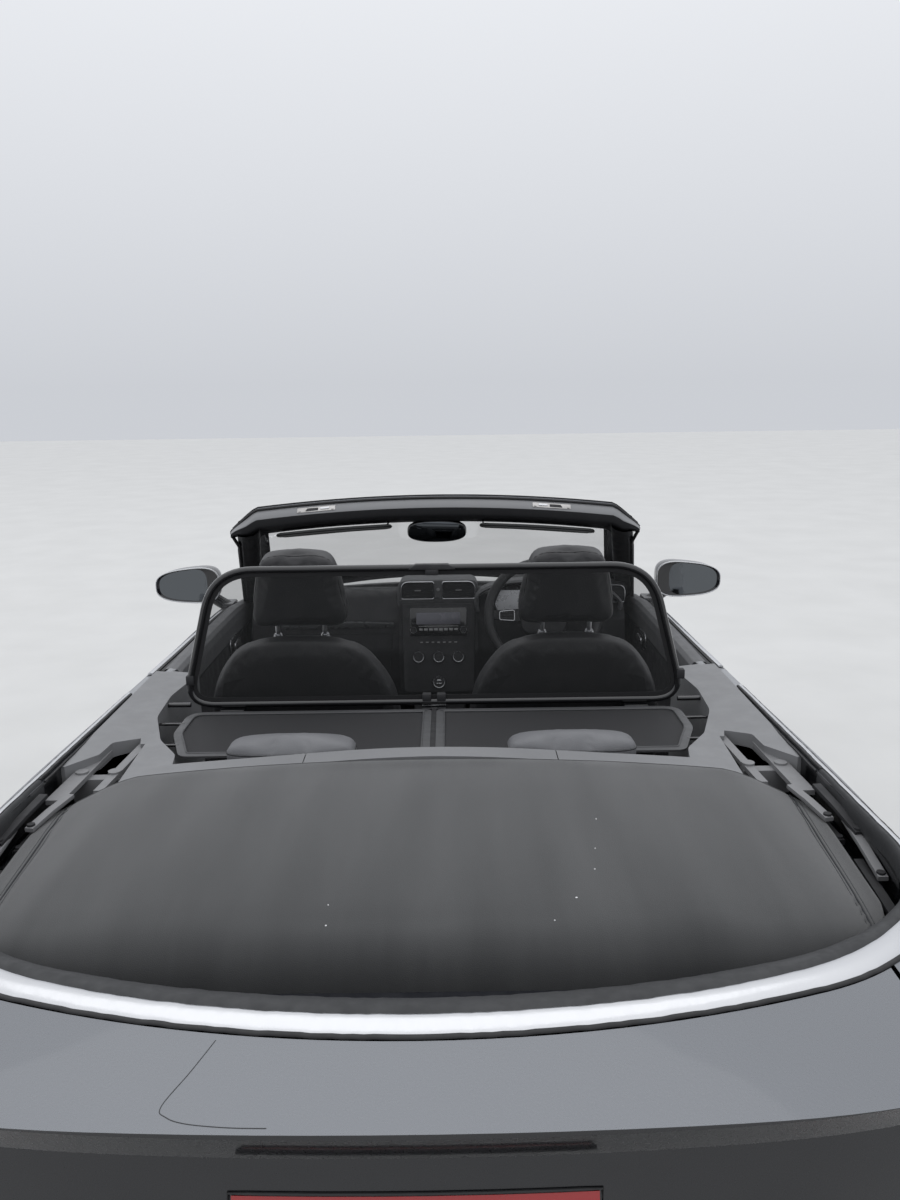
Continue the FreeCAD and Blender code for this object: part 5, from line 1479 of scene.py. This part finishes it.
bow_roof = [(-0.645, 0.0), (-0.645, 0.03), (-0.60, 0.068), (-0.50, 0.098), (-0.36, 0.108), (-0.22, 0.098),
    (-0.14, 0.06), (-0.14, 0.0)]
hood_path = smooth_path([(a, -0.512, 0.937 + b) for a, b in bow_roof], 6)
piece("instrument_hood", trim_pad,
    swept(hood_path, [(-0.004, -0.045), (0.004, -0.045), (0.007, 0.02), (0.0, 0.027), (-0.007, 0.02)], False,
    ACROSS))
dials = []
dial_rims = []
for a in (-0.455, -0.265):
    dials.append(lathe([(0.0, 0.0), (0.062, 0.0), (0.060, 0.003), (0.0, 0.003)], (a, -0.524, 0.965),
        (0, 1, 0.25), 36))
    dial_rims.append(lathe([(0.058, 0.002), (0.0655, 0.0), (0.066, 0.005), (0.062, 0.010), (0.059, 0.004)],
        (a, -0.524, 0.965), (0, 1, 0.25), 40))
    for k in range(13):
        turn = math.radians(-40 + 260 * k / 12)
        c, s = math.cos(turn), math.sin(turn)
        dial_rims.append(tube([Vector((a + 0.050 * c, -0.519 - 0.012 * s, 0.966 + 0.049 * s)),
            Vector((a + 0.056 * c, -0.519 - 0.0135 * s, 0.966 + 0.0545 * s))], 0.0008, 5))
piece("dial_faces", black_plastic, dials)
piece("dial_rims", satin_metal, dial_rims)
wheel_middle = Vector((-0.357, -0.330, 0.960))
wheel_tilt = 24


def on_wheel(form):
    return tilted(form, wheel_tilt, wheel_middle)


def at_wheel(a, b, h):
    return wheel_middle.x + a, wheel_middle.y + h, wheel_middle.z + b


def rim_section(spread):
    """A thumb-shaped grip, fuller beside the upper spokes."""
    return 0.0155 + 0.0022 * (math.exp(-((spread - 25) / 16) ** 2) + math.exp(-((spread - 155) / 16) ** 2))


rim_verts = []
for turn in round_the(96):
    grip = rim_section(math.degrees(turn))
    for bend in round_the(14):
        reach = 0.184 + grip * math.cos(bend)
        rim_verts.append(Vector(at_wheel(reach * math.cos(turn), reach * math.sin(turn),
            grip * 0.95 * math.sin(bend))))
rim_form = on_wheel((rim_verts, grid_faces(96, 14, True, True)))
wheel_rim = piece("steering_rim", dark_leather, rim_form, "steering_wheel_body")
pad_line = trapezium(0.072, -0.066, 0.035, 0.088, 0.036, 0.034, 6)
pad = on_wheel(slab(pad_line, -0.028, 0.014, at_wheel, 0.012))
arms = []
inserts = []
for s in (-1, 1):
    arm = rounded_outline([(s * 0.07, -0.022, 0.004), (s * 0.174, -0.012, 0.006), (s * 0.174, 0.018, 0.006),
        (s * 0.07, 0.024, 0.004)], 3)
    arms.append(on_wheel(slab(arm, -0.012, 0.004, at_wheel, 0.003)))
    frame_line = rounded_outline([(s * 0.098, -0.018, 0.006), (s * 0.148, -0.014, 0.006),
        (s * 0.148, 0.014, 0.006), (s * 0.098, 0.018, 0.006)], 4)
    inserts.append(on_wheel(swept([Vector(at_wheel(p.x, p.y, 0.0048)) for p in frame_line], ring(0.0018, 6),
        True, ACROSS)))
    for k in (-1, 0, 1):
        button = rectangle(s * 0.104, -0.0035 + 0.009 * k, s * 0.142, 0.0035 + 0.009 * k, 0.001, 2)
        arms.append(on_wheel(slab(button, 0.003, 0.0062, at_wheel, 0.001)))
low_arm = rounded_outline([(-0.036, -0.06, 0.01), (-0.021, -0.176, 0.004), (0.021, -0.176, 0.004),
    (0.036, -0.06, 0.01)], 3)
arms.append(on_wheel(slab(low_arm, -0.014, 0.002, at_wheel, 0.003)))
low_frame = rounded_outline([(-0.024, -0.074, 0.006), (-0.013, -0.162, 0.005), (0.013, -0.162, 0.005),
    (0.024, -0.074, 0.006)], 4)
inserts.append(on_wheel(slab(low_frame, 0.001, 0.0035, at_wheel, 0.001)))
wheel_pad = piece("steering_pad", black_plastic,
    [pad] + arms + [on_wheel(lathe([(0.0, -0.15), (0.034, -0.15), (0.04, -0.05), (0.03, -0.02), (0.0, -0.02)],
    wheel_middle, ACROSS, 24))], "steering_wheel_body")
wheel_marks = piece("steering_inserts", satin_metal, inserts, "steering_wheel_body")
for made in (wheel_rim, wheel_pad, wheel_marks):
    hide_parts("steering_wheel")

# Small marks: rain specks painted white as painted glints, a scratch on the lid, seals beside the trims
scratch = smooth_path([(0.23, 1.889, 1.2), (0.247, 1.936, 1.2), (0.266, 1.983, 1.2), (0.257, 1.997, 1.2),
    (0.234, 2.006, 1.2), (0.19, 2.012, 1.2), (0.15, 2.014, 1.2)], 8)
lid_skin = skin_of("boot_lid")
scratch_line = laid(lid_skin, scratch, (0, 0, -1), -0.0002)
piece("lid_scratch", scratch_grey,
    swept(scratch_line, [(-0.0007, 0.0), (-0.0003, 0.0007), (0.0003, 0.0007), (0.0007, 0.0)]), "lid_body")
specks = []
for x, y, size in ((0.133, 1.655, 1.0), (0.135, 1.610, 0.8), (-0.218, 1.605, 1.2), (-0.182, 1.652, 0.8),
        (-0.255, 1.53, 0.9), (-0.265, 1.466, 0.8), (-0.282, 1.362, 0.9)):
    hit = below(roof_skin, x, y)
    specks.append(lathe([(0.0, 0.0009), (0.0009 * size, 0.0006), (0.0014 * size, 0.0),
        (0.0014 * size, -0.0004), (0.0, -0.0004)], hit, (0, 0, 1), 10))
piece("roof_specks", speck_painted_glint, specks)
trim_rows = [row for row in STRIP if row[0].y < -0.14]
for name, inset, radius in (("outer", 0.0035, 0.0034), ("inner", 0.0145, 0.0026)):
    left_line = [round_well(out, inner[0] - inset, inner[1] - 0.002 - inset * 0.25)
        for out, inner, _ in trim_rows if out.x > 0]
    right_line = [round_well(out, inner[0] - inset, inner[1] - 0.002 - inset * 0.25)
        for out, inner, _ in trim_rows if out.x < 0]
    piece(f"side_seal_{name}", seal_rubber, [tube(left_line, radius, 8), tube(right_line, radius, 8)])

# Folded roof's side gear
gear_dark, gear_grey = [], []
for y0, y1, x0, x1, z0, z1, dark in (
    (1.10, 1.235, 0.700, 0.724, 0.958, 0.952, False), (1.13, 1.30, 0.738, 0.752, 0.972, 0.955, True),
    (1.15, 1.27, 0.722, 0.733, 0.930, 0.925, True), (1.24, 1.42, 0.752, 0.742, 0.955, 0.935, False),
    (1.30, 1.50, 0.765, 0.752, 0.962, 0.94, True), (1.34, 1.56, 0.735, 0.720, 0.925, 0.915, True),
):
    bar = swept([(x0, y0, z0), ((x0 + x1) / 2, (y0 + y1) / 2, (z0 + z1) / 2 + 0.002), (x1, y1, z1)],
                [(-0.008, -0.004), (0.008, -0.004), (0.0088, 0.0), (0.008, 0.004), (-0.008, 0.004),
                (-0.0088, 0.0)])
    (gear_dark if dark else gear_grey).append(bar)
    gear_dark.append(lathe([(0.0, -0.005), (0.007, -0.005), (0.008, 0.0), (0.007, 0.006), (0.0, 0.006)],
        (x1, y1 - 0.01, z1 + 0.002), (0, 0, 1), 14))
piece("roof_gear_dark", black_plastic, pair(*gear_dark))
piece("roof_gear_grey", satin_grey, pair(*gear_grey))

# Lamps


def lamp_rings(x0, x1, z0, z1, skin):
    """Square rings of light laid on a rear lamp."""
    loops = []
    for k in range(3):
        inset = 0.006 + 0.009 * k
        corners = rectangle(x0 + inset, z0 + inset, x1 - inset, z1 - inset, 0.01, 4)
        line = laid(skin, [Vector((p.x, 2.3, p.y)) for p in corners], (0, -1, 0), 0.001, 0.0)
        if len(line) > 8:
            loops.append(tube(line, 0.0018, 6, True))
    return loops


ring_forms = lamp_rings(0.60, 0.715, 0.69, 0.79, skin_of("tail_lamps"))
if ring_forms:
    piece("tail_lamp_rings", red_bright, pair(*ring_forms))
lid_rings = lamp_rings(0.48, 0.585, 0.70, 0.782, skin_of("lid_lamps"))
if lid_rings:
    piece("lid_lamp_rings", red_bright, pair(*lid_rings), "lid_body")


def on_lid_rear(x, z, lift):
    hit = lid_skin.ray_cast(Vector((x, 2.4, z)), Vector((0, -1, 0)))[0]
    return (hit if hit is not None else Vector((x, 2.07, z))) + Vector((0, lift, 0))


third = patch(lambda u, v: on_lid_rear(-0.19 + 0.38 * u, 0.9 + 0.0186 * v, 0.0012), 24, 4)
piece("third_brake_lamp", red_lamp, third, "lid_body")
third_edge = [on_lid_rear(a, b, 0.0012)
    for a, b in [(-0.193 + 0.386 * i / 20, 0.898) for i in range(21)] + [(0.193 - 0.386 * i / 20, 0.921)
    for i in range(21)]]
piece("third_brake_lamp_seal", seal_rubber, tube(third_edge, 0.0018, 6, True), "lid_body")
plate_rear = rectangle(-0.26, 0.0, 0.26, 0.111, 0.008, 4)
bumper_skin = skin_of("rear_bumper", "boot_lid")


def plate_at(skin, centre_y, low, towards):
    """Where a blank plate stands flat against what is behind it."""
    spots = [Vector((x, centre_y, low + 0.111 * k / 2)) for k in range(3) for x in (-0.24, 0, 0.24)]
    found = laid(skin, spots, (0, -towards, 0), 0.0, 0.0)
    return max(p.y * towards for p in found) * towards + 0.003 * towards if found else None


rear_reach = plate_at(bumper_skin, 2.4, 0.500, 1)
front_skin = skin_of("front_bumper", "grille")
front_reach = plate_at(front_skin, -2.4, 0.400, -1)
plates = []
if rear_reach is not None:
    plates.append(slab(plate_rear, rear_reach, min(rear_reach + 0.004, 2.121),
        lambda a, b, h: (a, h, b + 0.500), 0.001))
if front_reach is not None:
    plates.append(slab(plate_rear, -2.1228, front_reach + 0.002, lambda a, b, h: (a, h, b + 0.400), 0.001))
if plates:
    piece("blank_plates", plate_blank, plates)
head_skin = skin_of("headlamps")


def head_lamp_bowl(x, z, radius):
    hit, normal, _, _ = head_skin.ray_cast(Vector((x, -2.6, z)), Vector((0, 1, 0)))
    if hit is None:
        return None
    return lathe([(radius * 0.15, 0.0), (radius * 0.6, -0.004), (radius * 0.95, -0.001), (radius, -0.003),
        (radius * 0.9, 0.0008), (radius * 0.55, -0.001), (0.0, 0.0012)],
                 hit + Vector((0, 0.0015, 0)), -normal if normal.y > 0 else normal, 32)


bowls = [b for b in (head_lamp_bowl(0.52, 0.645, 0.036), head_lamp_bowl(0.63, 0.648, 0.036),
    head_lamp_bowl(0.72, 0.652, 0.022)) if b]
if bowls:
    piece("headlamp_bowls", satin_metal, pair(*bowls))

# Grille bars and intake mesh
grille_skin = skin_of("grille")


def over_grille(half, z, lift):
    """A level line laid on the front of the grille."""
    return laid(grille_skin, [Vector((half * (i / 20 - 1), -2.6, z)) for i in range(41)], (0, 1, 0), lift,
        0.0)


bars = []
for levels, half, size, lift in (
    ((0.602, 0.624, 0.646, 0.668, 0.688), 0.395, 0.004, 0.003),
    ((0.285, 0.31, 0.335, 0.36), 0.40, 0.003, 0.002),
):
    square = [(-size, -size), (size, -size), (size, size), (-size, size)]
    lines = [over_grille(half, z, lift) for z in levels]
    bars += [swept(line, square) for line in lines if len(line) > 10]
if bars:
    piece("grille_bars", gloss_black, bars)
chrome_line = over_grille(0.40, 0.694, 0.002)
if len(chrome_line) > 10:
    piece("grille_strip", bright_trim, tube(chrome_line, 0.0035, 8))

# Wipers at the foot of the windscreen
wiper_forms = []
cowl_skin = skin_of("cowl_panel", "bonnet", "windscreen")
for start, end in (((0.05, -0.86), (0.60, -0.80)), ((-0.52, -0.84), (0.0, -0.87))):
    rows = []
    for i in range(13):
        t = i / 12
        x = start[0] * (1 - t) + end[0] * t
        y = start[1] * (1 - t) + end[1] * t
        hit = below(cowl_skin, x, y)
        if hit is not None:
            rows.append(hit + Vector((0, 0, 0.010)))
    if len(rows) > 5:
        wiper_forms.append(swept(rows, [(-0.005, -0.006), (0.005, -0.006), (0.003, 0.006), (-0.003, 0.006)]))
if wiper_forms:
    piece("wipers", black_plastic, wiper_forms)

# Wheels: tyres with their tread, and bolts
HUB_HEIGHT = 0.317
WHEELS = (("front_left", 0.768, -1.243), ("front_right", -0.768, -1.243), ("rear_left", 0.755, 1.335),
    ("rear_right", -0.755, 1.335))
for label, x, y in WHEELS:
    side = 1 if x > 0 else -1
    body = f"wheel_{label}"
    tyre = nodes[f"tyre_{label}"].data
    low = min(v.co.x for v in tyre.vertices)
    high = max(v.co.x for v in tyre.vertices)
    middle = (low + high) / 2
    half = (high - low) / 2
    wall = [(0.214, 0.80), (0.228, 0.90), (0.250, 0.985), (0.272, 1), (0.292, 0.96), (0.306, 0.86),
        (0.3125, 0.74)]
    profile = [(reach, -half * share) for reach, share in wall]
    for a, b in ((-0.60, -0.50), (-0.22, -0.14), (0.14, 0.22), (0.50, 0.60)):
        profile += [(0.3155, half * a), (0.3085, half * (a + 0.012)), (0.3085, half * (b - 0.012)),
            (0.3158, half * b)]
    profile += [(reach, half * share) for reach, share in reversed(wall)]
    profile.append(profile[0])

    def tyre_point(u, v):
        """The tyre's closed section carried round its axle."""
        reach, across = profile[round(v * (len(profile) - 1))]
        turn = 2 * math.pi * u
        return middle + across, y + reach * math.cos(turn), HUB_HEIGHT + reach * math.sin(turn)

    tyre_form = patch(tyre_point, 96, len(profile) - 1, True)
    made = piece(f"tyre_{label}_form", rubber, tyre_form, body, sharp=30)
    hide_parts(f"tyre_{label}")
    treads = []
    for turn in round_the(72):
        for a, b in ((-0.70, -0.61), (-0.48, -0.24), (0.24, 0.48), (0.61, 0.70)):
            c, s = math.cos(turn), math.sin(turn)
            c2, s2 = math.cos(turn + 0.018), math.sin(turn + 0.018)
            reach = 0.3150 if abs(a + b) / 2 > 0.5 else 0.3158
            p = [Vector((middle + half * a, y + reach * c, HUB_HEIGHT + reach * s)),
                Vector((middle + half * b, y + reach * c2, HUB_HEIGHT + reach * s2))]
            treads.append(tube(p, 0.0009, 4))
    piece(f"tyre_tread_{label}", thread, treads, body)
    bolts = []
    rim_skin = skin_of(f"rim_{label}")
    for k in range(5):
        turn = math.radians(90 + 36 + 72 * k)
        spot = Vector((x + side * 0.3, y + 0.056 * math.cos(turn), HUB_HEIGHT + 0.056 * math.sin(turn)))
        hit = rim_skin.ray_cast(spot, Vector((-side, 0, 0)))[0]
        if hit is not None:
            bolts.append(lathe([(0.0, -0.002), (0.0105, -0.002), (0.0105, 0.003), (0.007, 0.005),
                (0.0, 0.005)], hit, (side, 0, 0), 6))
    hit = rim_skin.ray_cast(Vector((x + side * 0.3, y, HUB_HEIGHT)), Vector((-side, 0, 0)))[0]
    if hit is not None:
        bolts.append(lathe([(0.0, -0.001), (0.031, -0.001), (0.031, 0.001), (0.027, 0.0035), (0.0, 0.0045)],
            hit, (side, 0, 0), 36))
    if bolts:
        piece(f"wheel_bolts_{label}", bright_steel, bolts, body)

# Exhaust tips, fuel flap, carpets
TIP_SECTION = [(0.0235, -0.03), (0.024, 0.024), (0.026, 0.028), (0.0285, 0.024), (0.0285, -0.03),
    (0.0235, -0.03)]
tips = []
for x in (-0.40, -0.47):
    def tip_point(u, v):
        reach, back = TIP_SECTION[round(v * 5)]
        turn = 2 * math.pi * u
        return x + reach * math.cos(turn), 2.042 + back, 0.2385 + reach * math.sin(turn)
    tips.append(patch(tip_point, 28, 5, True))
piece("exhaust_tips", bright_steel, tips)
quarter_skin = skin_of("rear_quarters")
flap = [squared(turn, 3.5) for turn in round_the(40)]
flap = [Vector((-1.3, 1.50 + 0.085 * a, 0.76 + 0.075 * b)) for a, b in flap]
flap = laid(quarter_skin, flap, (1, 0, 0), 0.0003, 0.0)
if len(flap) > 30:
    piece("fuel_flap_line", seal_rubber, tube(flap, 0.0016, 6, True))
floor_skin = skin_of("floor_pan")
mats = []
for x0, x1, y0, y1 in ((0.14, 0.60, -0.62, -0.16), (0.14, 0.56, 0.36, 0.56)):
    outline = rectangle(x0, y0, x1, y1, 0.04, 4)
    hits = [floor_skin.ray_cast(Vector((p.x, p.y, 0.42)), DOWN)[0] for p in outline]
    heights = [h.z for h in hits if h is not None]
    if heights:
        top = max(heights)
        mats.append(slab(outline, top + 0.001, top + 0.009, lying, 0.003))
if mats:
    piece("floor_mats", carpet, pair(*mats))

# Floor, light and camera


def studio():
    """A pale floor under a large soft light, and the camera of the photograph."""
    floor_mesh = bpy.data.meshes.new("floor")
    reach = 30
    corners = [(-reach, -reach, 0), (reach, -reach, 0), (reach, reach, 0), (-reach, reach, 0)]
    floor_mesh.from_pydata(corners, [], [(0, 1, 2, 3)])
    floor = bpy.data.objects.new("floor", floor_mesh)
    bpy.context.scene.collection.objects.link(floor)
    floor_shades = ((0.6, 0.6, 0.59), (0.64, 0.64, 0.63), 2)
    floor_mesh.materials.append(look("floor_pale", (0.62, 0.62, 0.61), 0.8, shades=floor_shades))
    world = bpy.data.worlds.new("soft_day")
    world.use_nodes = True
    tree = world.node_tree
    sky = tree.nodes["Background"]
    sky.inputs["Strength"].default_value = 1.0
    place_node = tree.nodes.new("ShaderNodeTexCoord")
    split = tree.nodes.new("ShaderNodeSeparateXYZ")
    ramp = tree.nodes.new("ShaderNodeValToRGB")
    for stop, spot, shade in zip(ramp.color_ramp.elements, (0.0, 0.8),
            ((0.60, 0.62, 0.66), (1.12, 1.14, 1.18))):
        stop.position = spot
        stop.color = (*shade, 1)
    tree.links.new(place_node.outputs["Generated"], split.inputs["Vector"])
    tree.links.new(split.outputs["Z"], ramp.inputs["Fac"])
    tree.links.new(ramp.outputs["Color"], sky.inputs["Color"])
    bpy.context.scene.world = world
    light = bpy.data.lights.new("soft_key", "AREA")
    light.shape = "DISK"
    light.size = 18
    light.energy = 260
    lamp = bpy.data.objects.new("soft_key", light)
    lamp.location = (2, -2, 12)
    bpy.context.scene.collection.objects.link(lamp)
    photo_tall = 1200
    focal_pixels = 971
    camera = bpy.data.cameras.new("photo_view")
    camera.sensor_fit = "VERTICAL"
    camera.sensor_height = 36
    camera.lens = focal_pixels / photo_tall * camera.sensor_height
    camera.clip_start = 0.05
    view = bpy.data.objects.new("photo_view", camera)
    yaw = math.radians(-0.05)
    pitch = math.radians(12.65)
    roll = math.radians(-0.8)
    ahead = Vector((-math.sin(yaw) * math.cos(pitch), -math.cos(yaw) * math.cos(pitch), -math.sin(pitch)))
    right = ahead.cross(Vector((0, 0, 1))).normalized()
    up = right.cross(ahead)
    turned_right = right * math.cos(roll) + up * math.sin(roll)
    turned_up = up * math.cos(roll) - right * math.sin(roll)
    basis = Matrix((turned_right, turned_up, -ahead)).transposed().to_4x4()
    view.matrix_world = Matrix.Translation(Vector((-0.045, 2.86, 1.733))) @ basis
    bpy.context.scene.collection.objects.link(view)
    bpy.context.scene.camera = view
    bpy.context.scene.view_settings.view_transform = "Standard"


studio()
